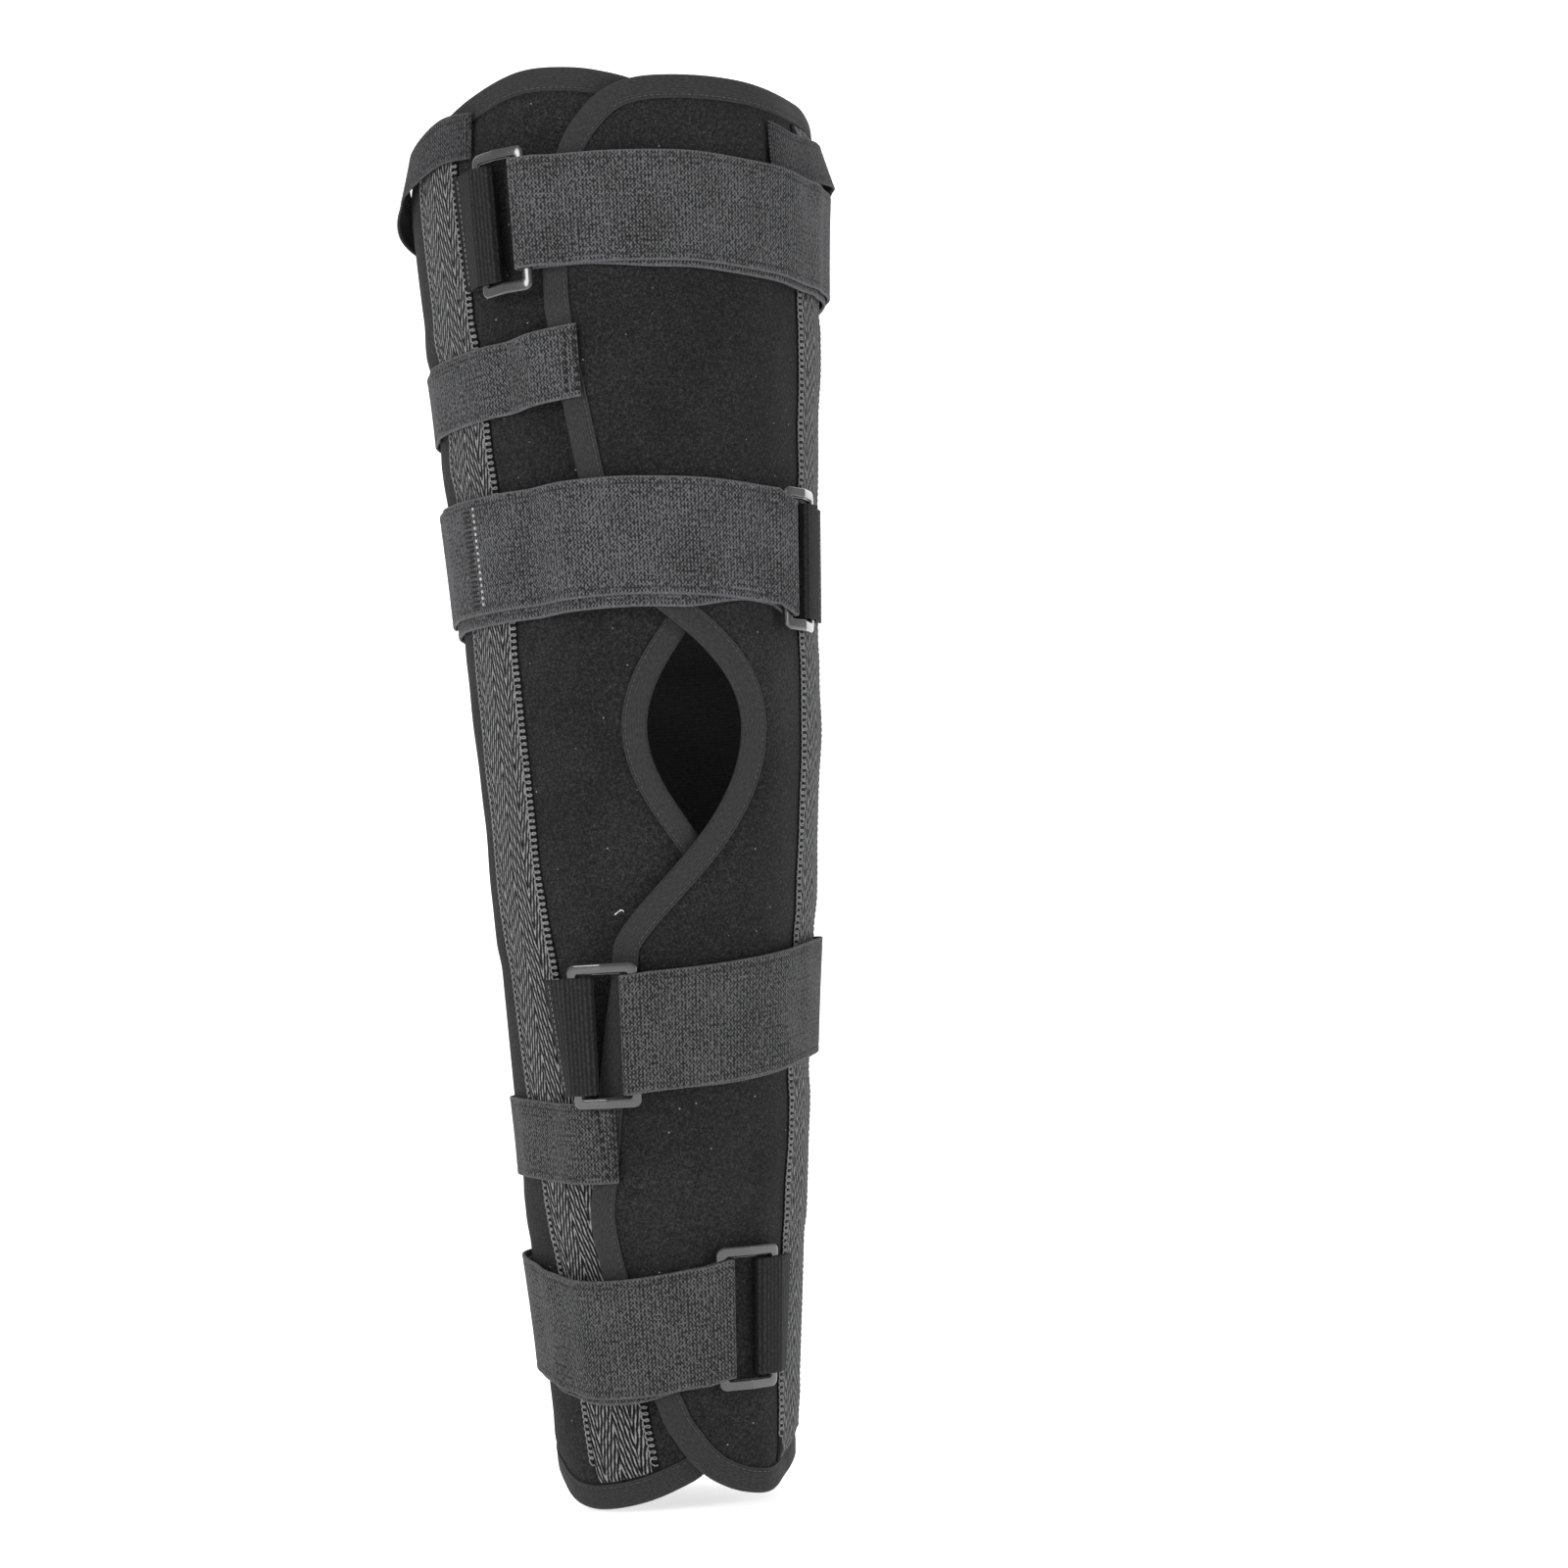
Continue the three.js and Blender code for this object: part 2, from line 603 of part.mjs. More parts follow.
// A flat strip along a path of stations { angle, out, z }, which may fold back over itself.
// shear: how far the strip's upper edge runs ahead of its middle, in degrees. flare: its lower edge's stand-off.
function strip(path, width, thickness) {
  const girth = (station) => station.angle * girthRate(station.angle, station.z, station.out);
  const faces = [1, -1].map((face) => path.map((station, i) => {
    const before = path[Math.max(0, i - 1)];
    const after = path[Math.min(path.length - 1, i + 1)];
    const rate = girthRate(station.angle, station.z, station.out);
    const run = (after.angle - before.angle) * rate;
    const rise = after.out - before.out;
    const length = Math.hypot(run, rise);
    const shift = face * thickness / 2;
    return [-0.5, 0.5].map((share) => legPoint(
      station.angle - shift * rise / length / rate + (station.shear ?? 0) * 2 * share,
      station.z + share * width,
      station.out + shift * run / length + (share < 0 ? station.flare ?? 0 : 0),
    ));
  }));
  return slab(faces[0], faces[1]);
}

// Stations from one angle to another that lie at a height given by the angle
function lay(from, to, out, z) {
  const count = Math.max(1, Math.round(Math.abs(to - from) / ARC_STEP));
  return places(from, to, count).map((angle) => ({ angle, out: out(angle), z: z(angle) }));
}

function closureTab(tab) {
  const line = tabLine(tab);
  const out = (angle) => seat(angle, line(angle), tab.width, ON_POCKETS) + CLEARANCE + TAB_THICKNESS / 2;
  return strip(lay(tab.start, tab.end, out, line), tab.width, TAB_THICKNESS);
}

function thighBand() {
  const path = lay(BAND[0].angle, BAND[BAND.length - 1].angle, () => 0, bandHeight);
  for (const station of path) {
    const base = lift(station.angle) + WALL + BINDING_PROUD + CLEARANCE + BAND_THICKNESS / 2;
    const near = station.angle - TURN * Math.round(station.angle / TURN);
    const pocket = seat(near, station.z, BAND_WIDTH, ON_POCKETS) + CLEARANCE + BAND_THICKNESS / 2;
    station.out = Math.max(base, pocket);
    station.flare = bandFlare(station.angle);
  }
  return strip(path, BAND_WIDTH, BAND_THICKNESS);
}

// The places that a strap, its loop and its webbing share, worked out from what lies under them
function closure(strap) {
  const rise = lineThrough(strap.line);
  const line = (angle) => heightAt(strap.at) + rise(angle) * strap.width;
  const z = line(strap.angle);
  const rate = girthRate(strap.angle, z, 2 * WALL);
  const angleAt = (x) => strap.angle + x / rate;
  const barMiddle = LOOP_WIDTH / 2 - LOOP_BAR / 2;
  const middle = z - strap.sag * strap.width;
  const ground = (angle) => seat(angle, middle, STRAP_WIDTH + LOOP_PLAY + 2 * LOOP_END);
  const under = (side, thickness) => {
    const spots = places(LOOP_WIDTH / 2 - LOOP_BAR - 2 * WEBBING_SLACK, LOOP_WIDTH / 2 + LOOP_BAR, 4);
    const highest = Math.max(...spots.map((x) => ground(angleAt(side * x))));
    return highest + CLEARANCE + thickness + FOLD_PLAY + LOOP_THICKNESS / 2;
  };
  return {
    line, z, middle, rate, angleAt, barMiddle,
    strapBar: under(strap.side, STRAP_THICKNESS),
    webbingBar: under(-strap.side, WEBBING_THICKNESS),
  };
}

// A strip's half turn round a loop's bar, in millimetres round the leg from the loop's middle
function fold(place, x, out, radius, towards) {
  return places(-90, 90, FOLD_STEPS).map((turn) => ({
    angle: place.angleAt(x + towards * radius * Math.cos(turn * DEGREE)),
    out: out + radius * Math.sin(turn * DEGREE),
    z: place.z,
  }));
}

function strapBody(strap) {
  const place = closure(strap);
  const { side } = strap;
  const inner = side * (LOOP_WIDTH / 2 - LOOP_BAR);
  const outerEdge = side * (LOOP_WIDTH / 2 + LOOP_BAR);
  const radius = LOOP_THICKNESS / 2 + FOLD_PLAY + STRAP_THICKNESS / 2;
  const lowest = place.strapBar - radius;
  const highest = place.strapBar + radius;
  const away = (angle) => Math.abs(angle - place.angleAt(outerEdge));
  const underOut = (angle) => (
    Math.max(seat(angle, place.line(angle), strap.width) + CLEARANCE + STRAP_THICKNESS / 2,
      lowest - STRAP_SLOPE * away(angle) * place.rate)
  );
  const drop = (angle) => strap.drop * strap.width * ease(8, 30, away(angle));
  const overOut = (angle) => (
    Math.max(underOut(angle) + STRAP_THICKNESS + CLEARANCE, highest - STRAP_SLOPE * away(angle) * place.rate)
  );
  const start = place.angleAt(outerEdge);
  const level = (out) => ({ angle: start, out, z: place.line(start) });
  const path = [
    ...lay(strap.anchor, start, underOut, (angle) => place.line(angle) - drop(angle)).slice(0, -1),
    level(lowest),
    ...fold(place, inner, place.strapBar, radius, -side),
    level(highest),
    ...lay(start, strap.end, overOut, place.line).slice(1),
  ];
  return strip(path, strap.width, STRAP_THICKNESS);
}

// Where a loop's webbing is sewn down: under the edge of a stay pocket, or on top of the right one
function webbingEnd(strap, z) {
  if (strap.hold === 'over') return rightPocket(z) + 1;
  const [pocket, towards] = strap.hold === 'left' ? [leftPocket(z), 1] : [rightPocket(z), -1];
  return pocket + towards * (POCKET_WIDTH / 2 + CLEARANCE) / girthRate(pocket, z);
}

function loopWebbing(strap) {
  const place = closure(strap);
  const z = place.middle;
  const side = -strap.side;
  const inner = side * (LOOP_WIDTH / 2 - LOOP_BAR - WEBBING_SLACK);
  const radius = LOOP_THICKNESS / 2 + FOLD_PLAY + WEBBING_THICKNESS / 2;
  const half = WEBBING_WIDTH / 2;
  const end = webbingEnd(strap, z);
  const shear = (webbingEnd(strap, z + half) - webbingEnd(strap, z - half)) / 2;
  const bar = place.angleAt(side * LOOP_WIDTH / 2);
  const count = Math.max(2, Math.round(Math.abs(end - bar) / ARC_STEP));
  const on = strap.hold === 'over' ? ON_ALL : ON_TABS;
  const run = places(0, 1, count).slice(0, -1).map((t) => {
    const angle = mix(end, bar, t);
    const edge = { angle, z, shear: shear * (1 - t) };
    const fall = STRAP_SLOPE * Math.abs(bar - angle) * place.rate;
    const resting = seat(angle, z, WEBBING_WIDTH, on) + CLEARANCE + WEBBING_THICKNESS / 2;
    const low = Math.max(resting, place.webbingBar - radius - fall);
    const high = Math.max(low + WEBBING_THICKNESS + CLEARANCE, place.webbingBar + radius - fall);
    return [{ ...edge, out: low }, { ...edge, out: high }];
  });
  const level = (out) => ({ angle: bar, out, z });
  const path = [
    ...run.map((pair) => pair[0]),
    level(place.webbingBar - radius),
    ...fold(place, inner, place.webbingBar, radius, -side).map((station) => ({ ...station, z })),
    level(place.webbingBar + radius),
    ...run.map((pair) => pair[1]).reverse(),
  ];
  return strip(path, WEBBING_WIDTH, WEBBING_THICKNESS);
}

// A rounded rectangle's corners as [x, z] points, three to a corner, with one at the middle of each end
function roundedFrame(halfWide, halfHigh, corner) {
  const points = [];
  for (const [sx, sz, from] of [[1, 1, 0], [-1, 1, 90], [-1, -1, 180], [1, -1, 270]]) {
    for (const turn of [0, 45, 90]) {
      const heading = (from + turn) * DEGREE;
      points.push([
        sx * (halfWide - corner) + corner * Math.cos(heading),
        sz * (halfHigh - corner) + corner * Math.sin(heading),
      ]);
    }
    if (sx * sz > 0) points.push([0, sz * halfHigh]);
  }
  return points;
}

// A moulded loop: a rounded rectangle of bars, bent across its middle to lie round the leg
function plasticLoop(strap) {
  const place = closure(strap);
  const slotHigh = (STRAP_WIDTH + LOOP_PLAY) / 2;
  const outer = roundedFrame(LOOP_WIDTH / 2, slotHigh + LOOP_END, LOOP_CORNER);
  const slot = roundedFrame(LOOP_WIDTH / 2 - LOOP_BAR, slotHigh, SLOT_CORNER);
  const barHeight = (x) => {
    const share = clamp(x * strap.side / place.barMiddle, -1, 1) / 2 + 0.5;
    return mix(place.webbingBar, place.strapBar, share);
  };
  const half = LOOP_THICKNESS / 2;
  const profile = [
    [0, 0.5], [0.15, 1], [0.85, 1], [1, 0.5], [1, -0.5], [0.85, -1], [0.15, -1], [0, -0.5],
  ];
  return ring(outer.map(([x, up], i) => profile.map(([inward, out]) => {
    const across = mix(x, slot[i][0], inward);
    const along = mix(up, slot[i][1], inward);
    return legPoint(place.angleAt(across), place.middle + along, barHeight(across) + out * half);
  })));
}

const FINISH = {
  loopFabric: { color: 0x17181a, roughness: 0.95, metalness: 0 },
  binding: { color: 0x232426, roughness: 0.85, metalness: 0 },
  pocketTape: { color: 0x2b2b2c, roughness: 0.8, metalness: 0 },
  elastic: { color: 0x3f4042, roughness: 0.85, metalness: 0 },
  webbing: { color: 0x161617, roughness: 0.7, metalness: 0 },
  plastic: { color: 0x1d1e20, roughness: 0.3, metalness: 0 },
};

const brace = new THREE.Group();
brace.name = 'knee_immobilizer';

function add(name, geometry, finish) {
  const mesh = new THREE.Mesh(geometry, new THREE.MeshStandardMaterial(FINISH[finish]));
  mesh.name = name;
  brace.add(mesh);
}

add('right_panel', wrapPanel({
  bottom: insetEdges.rightHem, top: insetEdges.rightTop,
  start: insetEdges.rightFront, seamEndLine: seamAngle.right, rows: ROWS,
}), 'loopFabric');
add('back_panel', wrapPanel({
  bottom: insetEdges.backHem, top: insetEdges.backTop,
  seamStart: seamAngle.right, seamEndLine: seamAngle.left, rows: BACK_ROWS,
}), 'loopFabric');
add('left_panel', wrapPanel({
  bottom: insetEdges.leftHem, top: insetEdges.leftTop,
  seamStart: seamAngle.left, end: insetEdges.leftFront, rows: ROWS,
}), 'loopFabric');
add('edge_binding', edgeBinding(), 'binding');
add('left_stay_pocket', stayPocket(leftPocket, TURN), 'pocketTape');
add('right_stay_pocket', stayPocket(rightPocket, 0), 'pocketTape');
add('thigh_band', thighBand(), 'elastic');
for (const tab of TABS) add(tab.name, closureTab(tab), 'elastic');
for (const strap of STRAPS) {
  add(strap.name, strapBody(strap), 'elastic');
  add(strap.webbing, loopWebbing(strap), 'webbing');
  add(strap.loop, plasticLoop(strap), 'plastic');
}

export default brace;
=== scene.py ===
"""Knee immobilizer: a padded three-panel wrap with stay pockets, woven straps and moulded loops.

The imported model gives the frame. Every soft solid is replaced by its cloth: panels of brushed
laminate, a folded edge binding, herringbone pocket tapes with chain stitching, woven elastic and
ribbed webbing with their selvedges and stitches, and bevelled loops.
Lengths are in millimetres and become metres where a mesh is made. Z runs up the leg, -Y is the
front of the knee and +X the viewer's right. An angle is measured round the leg in degrees: 0 at
the front, 90 at +X, 180 at the back. The "out" of a point is its distance from the hollow's face.
"""

import logging
import math
from dataclasses import dataclass
from enum import Enum
from typing import Callable, Sequence

import bpy
import numpy as np
from mathutils import Matrix, Vector


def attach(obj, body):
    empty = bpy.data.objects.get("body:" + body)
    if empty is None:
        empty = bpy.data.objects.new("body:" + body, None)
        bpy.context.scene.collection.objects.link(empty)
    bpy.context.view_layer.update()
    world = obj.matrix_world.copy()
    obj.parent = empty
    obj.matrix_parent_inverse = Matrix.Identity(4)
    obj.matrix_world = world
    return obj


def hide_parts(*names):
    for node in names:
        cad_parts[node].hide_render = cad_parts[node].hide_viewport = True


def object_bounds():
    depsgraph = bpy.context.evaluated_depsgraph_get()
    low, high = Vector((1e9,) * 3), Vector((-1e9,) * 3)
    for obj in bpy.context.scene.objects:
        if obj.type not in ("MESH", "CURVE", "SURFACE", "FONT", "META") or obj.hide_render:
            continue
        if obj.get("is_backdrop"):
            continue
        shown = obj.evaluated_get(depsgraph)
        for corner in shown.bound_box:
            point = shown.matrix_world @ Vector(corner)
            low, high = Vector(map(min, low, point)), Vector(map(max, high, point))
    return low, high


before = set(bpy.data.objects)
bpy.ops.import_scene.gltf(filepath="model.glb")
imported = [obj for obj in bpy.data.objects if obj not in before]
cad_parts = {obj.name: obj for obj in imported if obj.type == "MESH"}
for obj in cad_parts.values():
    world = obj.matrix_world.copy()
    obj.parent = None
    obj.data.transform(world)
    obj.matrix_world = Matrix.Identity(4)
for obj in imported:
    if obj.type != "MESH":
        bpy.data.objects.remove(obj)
CAD_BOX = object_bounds()

LOG = logging.getLogger("knee_immobilizer")
MM = 0.001
TURN = 360.0
BODY = "root"

Line = Callable[[np.ndarray], np.ndarray]


# The sizes and tables of the part's source


@dataclass(frozen=True)
class WrapSizes:
    """The wrap's driving sizes in millimetres, as in the part's source."""

    above_knee: float = 278.5
    below_knee: float = 326.5
    hollow_width: float = 172.0
    hollow_depth: float = 168.0
    wall: float = 4.0
    clearance: float = 0.4
    binding_width: float = 10.5
    binding_proud: float = 0.25
    pocket_width: float = 32.0
    pocket_thickness: float = 1.0
    pocket_crown: float = 0.3
    band_width: float = 20.0
    band_thickness: float = 1.2
    tab_thickness: float = 1.3
    climb_from: float = 68.0
    climb_to: float = 38.0

    @property
    def pocket_top(self) -> float:
        """How far a stay pocket's middle stands off the wall."""
        return self.clearance + self.pocket_thickness + self.pocket_crown

    @property
    def flap_lift(self) -> float:
        """How far the right flap lies out from the left one's place."""
        return self.wall + self.pocket_top + self.clearance + self.binding_proud


SIZES = WrapSizes()

# Height as a share of the length above or below the knee; the hollow's width and depth as shares of
# the hollow's at the thigh; the centre's shift to the right and to the back as shares of half of them
SECTIONS = (
    (-1.0, 0.529, 0.512, 0.0, 0.155),
    (-0.92, 0.552, 0.536, -0.003, 0.155),
    (-0.735, 0.616, 0.595, -0.009, 0.143),
    (-0.49, 0.683, 0.667, -0.003, 0.107),
    (-0.245, 0.746, 0.715, 0.014, 0.06),
    (0.0, 0.808, 0.774, 0.02, 0.012),
    (0.287, 0.866, 0.845, 0.008, 0.0),
    (0.575, 0.93, 0.917, -0.003, 0.012),
    (0.826, 0.99, 0.99, -0.007, 0.036),
    (0.93, 0.978, 1.0, -0.006, 0.046),
    (1.0, 0.95, 1.0, -0.006, 0.052),
)

# Angle and height share of the top edge and the hem, once round from the right flap to the left one
TOP_EDGE = (
    (-4, 0.934), (0, 0.953), (5, 0.966), (12, 0.974), (28, 0.977), (50, 0.973), (73, 0.975),
    (84, 0.966), (97, 0.953), (130, 0.94), (180, 0.934), (275, 0.936), (299, 0.944), (318, 0.975),
    (336, 1.0), (352, 0.997), (362, 0.986), (370, 0.972), (377, 0.95), (381, 0.92),
)
HEM = (
    (7, -0.936), (14, -0.957), (21, -0.97), (30, -0.981), (45, -0.988), (60, -0.982), (90, -0.96),
    (180, -0.947), (260, -0.953), (276, -0.966), (290, -0.985), (306, -0.998), (322, -1.0),
    (345, -0.99), (364, -0.972), (376, -0.955), (382, -0.932),
)

# Height share and angle of the flaps' front edges without their scallops
RIGHT_FRONT = (
    (-0.936, 7), (-0.893, -1.9), (-0.862, -5.5), (-0.77, -18), (-0.69, -24), (-0.622, -26.3),
    (-0.585, -25.2), (-0.38, -16.5), (-0.28, -12.3), (0.0, -12), (0.29, -11), (0.427, -13.7),
    (0.6, -17.8), (0.735, -17.5), (0.82, -14.8), (0.894, -9.6), (0.934, -4),
)
LEFT_FRONT = ((-0.932, 382), (-0.8, 384), (0.0, 384), (0.8, 383), (0.92, 381))

# Depth, reach above and reach below the knee of the scallops that make the kneecap window
RIGHT_SCALLOP = (58.0, 75.0, 90.0)
LEFT_SCALLOP = (27.5, 55.0, 57.0)

# Height share and angle of the stay pockets' middle lines
LEFT_POCKET = (
    (-0.97, -24), (-0.862, -27.8), (-0.695, -33.4), (-0.594, -38.3), (-0.468, -44.3),
    (-0.3, -49.6), (-0.145, -53.2), (0.17, -52.4), (0.48, -53.6), (0.87, -55.3),
)
RIGHT_POCKET = ((-0.95, 71), (-0.6, 73), (-0.28, 75.5), (0.0, 77), (0.38, 75.5), (0.87, 72.5))

# Angle, height share and stand-off of the lower edge, as a share of its width, of the thigh band
BAND = (
    (46, 0.882, 0), (56, 0.876, 0), (68, 0.88, 0.12), (80, 0.888, 0.22), (92, 0.893, 0.25),
    (110, 0.882, 0.15), (140, 0.855, 0), (180, 0.836, 0), (220, 0.833, 0), (255, 0.838, 0.1),
    (268, 0.851, 0.22), (278, 0.866, 0.25), (288, 0.885, 0.2), (298, 0.902, 0.1), (310, 0.917, 0),
    (321.6, 0.914, 0),
)


class Hold(Enum):
    """Where a loop's webbing is sewn down."""

    LEFT_POCKET_EDGE = "left"
    RIGHT_POCKET_EDGE = "right"
    ON_RIGHT_POCKET = "over"


@dataclass(frozen=True)
class StrapPlan:
    """One strap, its loop and its loop tab.

    line is the rise of the strap's middle above its height at the loop, as a share of its width,
    against the angle. drop is how far the under layer lies below the upper one away from the loop,
    and sag how far the loop lies below the strap's middle, both as shares of the width.
    """

    name: str
    side: int
    width: float
    at: float
    angle: float
    anchor: float
    end: float
    hold: Hold
    line: tuple[tuple[float, float], ...]
    drop: float
    sag: float = 0.0
    has_end_patch: bool = False


STRAP_WIDTH = 50.0
STRAPS = (
    StrapPlan(
        "thigh", 1, 0.92 * STRAP_WIDTH, 0.774, -27.5, 180, 118, Hold.LEFT_POCKET_EDGE,
        ((-28, 0), (20, 0), (33, -0.035), (45, -0.065), (56, -0.095), (67, -0.09), (90, -0.07),
         (130, -0.2), (180, -0.42)),
        drop=0.05, sag=0.04,
    ),
    StrapPlan(
        "above_knee", -1, 0.98 * STRAP_WIDTH, 0.252, 57, -180, -92, Hold.ON_RIGHT_POCKET,
        ((-180, 0.1), (-90, 0.15), (-38, 0.17), (-4, 0.2), (10, 0.19), (25, 0.165), (41, 0.115),
         (54, 0.045), (58, 0)),
        drop=0.1, has_end_patch=True,
    ),
    StrapPlan(
        "below_knee", 1, STRAP_WIDTH, -0.386, -14.5, 180, 112, Hold.LEFT_POCKET_EDGE,
        ((-15, 0), (6, 0.03), (18, 0.05), (36, 0.1), (52, 0.16), (70, 0.22), (100, 0.26),
         (180, 0.24)),
        drop=0.02,
    ),
    StrapPlan(
        "ankle", -1, STRAP_WIDTH, -0.756, 32.5, -180, -108, Hold.RIGHT_POCKET_EDGE,
        ((-180, 0.05), (-90, 0.06), (-65, 0.01), (-52, -0.05), (-37, -0.11), (-21, -0.125),
         (-6, -0.105), (7, -0.07), (22, -0.03), (33, 0)),
        drop=0.05,
    ),
)


@dataclass(frozen=True)
class TabPlan:
    """A narrow closure tab sewn to the right flap's binding.

    line is as a strap's. hold is where the second row of stitches crosses, from the sewn end, and how
    much further along its upper end lies.
    """

    name: str
    width: float
    at: float
    start: float
    end: float
    hold: tuple[float, float]
    line: tuple[tuple[float, float], ...]


TABS = (
    TabPlan(
        "upper_closure_tab", 30.5, 0.552, -104, -9.5, (-5.4, 1.2),
        ((-104, -0.18), (-80, -0.2), (-63, -0.18), (-45, -0.14), (-26, -0.08), (-10, 0)),
    ),
    TabPlan(
        "lower_closure_tab", 34.0, -0.523, -112, -13.5, (-6.0, -3.2),
        ((-112, 0.09), (-63, 0.08), (-38, 0.02), (-25, 0), (-13, 0)),
    ),
)


# Small tools


def linear_colour(code: str) -> tuple[float, float, float, float]:
    """Turns an sRGB hex colour to linear light.

    Args:
        code: Six hex digits, such as "2e2e2f".

    Returns:
        Red, green, blue and an alpha of one.
    """
    parts = [int(code[i : i + 2], 16) / 255 for i in (0, 2, 4)]
    linear = [c / 12.92 if c <= 0.04045 else ((c + 0.055) / 1.055) ** 2.4 for c in parts]
    return (*linear, 1.0)


def ease(start: float, stop: float, x: np.ndarray) -> np.ndarray:
    """Rises smoothly from 0 to 1 between start and stop: t squared times (3 - 2t)."""
    t = np.clip((np.asarray(x, float) - start) / (stop - start), 0, 1)
    return t * t * (3 - 2 * t)


def smooth_line(xs: Sequence[float], ys: Sequence[float]) -> Line:
    """A smooth line through points in order of x.

    Each slope is that of the chord between its two neighbours. Between two points the value eases
    from one to the other and bends by (1-t)^2 t times the first slope less (1-t) t^2 times the next.

    Args:
        xs: The places, rising.
        ys: The values there.

    Returns:
        A function of an array of places, level beyond the ends.
    """
    x, y = np.asarray(xs, float), np.asarray(ys, float)
    last = len(x) - 1
    before, after = np.maximum(np.arange(last + 1) - 1, 0), np.minimum(np.arange(last + 1) + 1, last)
    slopes = (y[after] - y[before]) / (x[after] - x[before])

    def line(places: np.ndarray) -> np.ndarray:
        """The value at each place.

        Args:
            places: Where to read the curve.

        Returns:
            The values there.
        """
        at = np.asarray(places, float)
        i = np.clip(np.searchsorted(x, at, side="left") - 1, 0, last - 1)
        span = x[i + 1] - x[i]
        t = np.clip((at - x[i]) / span, 0, 1)
        bend = (1 - t) ** 2 * t * slopes[i] - (1 - t) * t * t * slopes[i + 1]
        return y[i] + (y[i + 1] - y[i]) * t * t * (3 - 2 * t) + bend * span

    return line


def height_of(share: float | np.ndarray) -> float | np.ndarray:
    """The height in millimetres of a share of the length above or below the knee."""
    return share * np.where(np.asarray(share) > 0, SIZES.above_knee, SIZES.below_knee)


def by_height(rows: Sequence[Sequence[float]], column: int, scale: float = 1.0) -> Line:
    """A smooth line of one column of a table against the height in its first column."""
    return smooth_line([float(height_of(r[0])) for r in rows], [r[column] * scale for r in rows])


def by_angle(rows: Sequence[Sequence[float]]) -> Line:
    """A smooth line of a table's heights against the angle in its first column."""
    return smooth_line([r[0] for r in rows], [float(height_of(r[1])) for r in rows])


def smoothed(values: np.ndarray, reach: int, closed: bool = False) -> np.ndarray:
    """Averages each value with its neighbours, with weights that fall off as a cosine bell.

    Args:
        values: Rows to be averaged along the first axis.
        reach: How many neighbours on each side.
        closed: True for a ring.

    Returns:
        An array of the same shape.
    """
    if reach < 1:
        return values
    weights = 0.5 + 0.5 * np.cos(np.linspace(-np.pi, np.pi, 2 * reach + 3)[1:-1])
    weights /= weights.sum()
    pad = [(reach, reach)] + [(0, 0)] * (values.ndim - 1)
    wide = np.pad(values, pad, mode="wrap" if closed else "edge")
    count = len(values)
    return sum(w * wide[i : i + count] for i, w in enumerate(weights))


def wave(a: np.ndarray, b: np.ndarray, seed: int) -> np.ndarray:
    """A gentle uneven wave from -1 to 1: the mean of six sines in set directions.

    Args:
        a: First coordinate, in wavelengths.
        b: Second coordinate, in wavelengths.
        seed: Chooses the directions and phases.

    Returns:
        The wave's height at each place.
    """
    rng = np.random.default_rng(seed)
    turns, phases = rng.uniform(0, 2 * np.pi, 6), rng.uniform(0, 2 * np.pi, 6)
    rates = rng.uniform(0.6, 1.5, 6) * 2 * np.pi
    total = sum(
        np.sin(rate * (a * np.cos(turn) + b * np.sin(turn)) + phase)
        for rate, turn, phase in zip(rates, turns, phases)
    )
    return total / 6


# The leg's form and what lies on it


class LegForm:
    """The straight leg that the wrap closes round: an ellipse whose size and centre follow the height."""

    def __init__(self, sizes: WrapSizes) -> None:
        """Makes the smooth lines of the section table.

        Args:
            sizes: The wrap's driving sizes.
        """
        self.sizes = sizes
        self.half_width = by_height(SECTIONS, 1, sizes.hollow_width / 2)
        self.half_depth = by_height(SECTIONS, 2, sizes.hollow_depth / 2)
        self.shift_right = by_height(SECTIONS, 3, sizes.hollow_width / 2)
        self.shift_back = by_height(SECTIONS, 4, sizes.hollow_depth / 2)

    def point(self, angle: np.ndarray, z: np.ndarray, out: np.ndarray) -> np.ndarray:
        """The point at an angle and height that stands out from the hollow's face.

        The section's point is (a sin, -b cos) of the angle, moved along its unit normal by out.

        Args:
            angle: Degrees round the leg.
            z: Height in millimetres.
            out: Distance from the hollow's face in millimetres.

        Returns:
            Points, one more axis than the arguments.
        """
        angle, z, out = np.broadcast_arrays(np.asarray(angle, float), z, out)
        a, b = self.half_width(z), self.half_depth(z)
        sin, cos = np.sin(np.radians(angle)), np.cos(np.radians(angle))
        length = np.hypot(sin / a, cos / b)
        return np.stack(
            [
                self.shift_right(z) + a * sin + out * sin / a / length,
                self.shift_back(z) - b * cos - out * cos / b / length,
                z,
            ],
            axis=-1,
        )

    def rate(self, angle: np.ndarray, z: np.ndarray, out: float | np.ndarray | None = None) -> np.ndarray:
        """Millimetres round the leg for each degree.

        Args:
            angle: Degrees round the leg.
            z: Heights.
            out: Distances from the cloth.

        Returns:
            The rates.
        """
        across = self.half_width(z) * np.cos(np.radians(angle))
        along = self.half_depth(z) * np.sin(np.radians(angle))
        return np.radians(np.hypot(across, along) + (self.sizes.wall if out is None else out))

    def swell(self, z: np.ndarray, width: float) -> np.ndarray:
        """How far the face swells out between the two edges of a level strip.

        Args:
            z: The strip's middle height.
            width: Its width.

        Returns:
            The swell in millimetres.
        """
        rises = [
            half(z) - (half(z - width / 2) + half(z + width / 2)) / 2
            for half in (self.half_width, self.half_depth)
        ]
        return np.maximum(0, np.maximum(*rises))


@dataclass(frozen=True)
class On:
    """What a strip is seated on besides the wrap."""

    pockets: bool = True
    tabs: bool = True


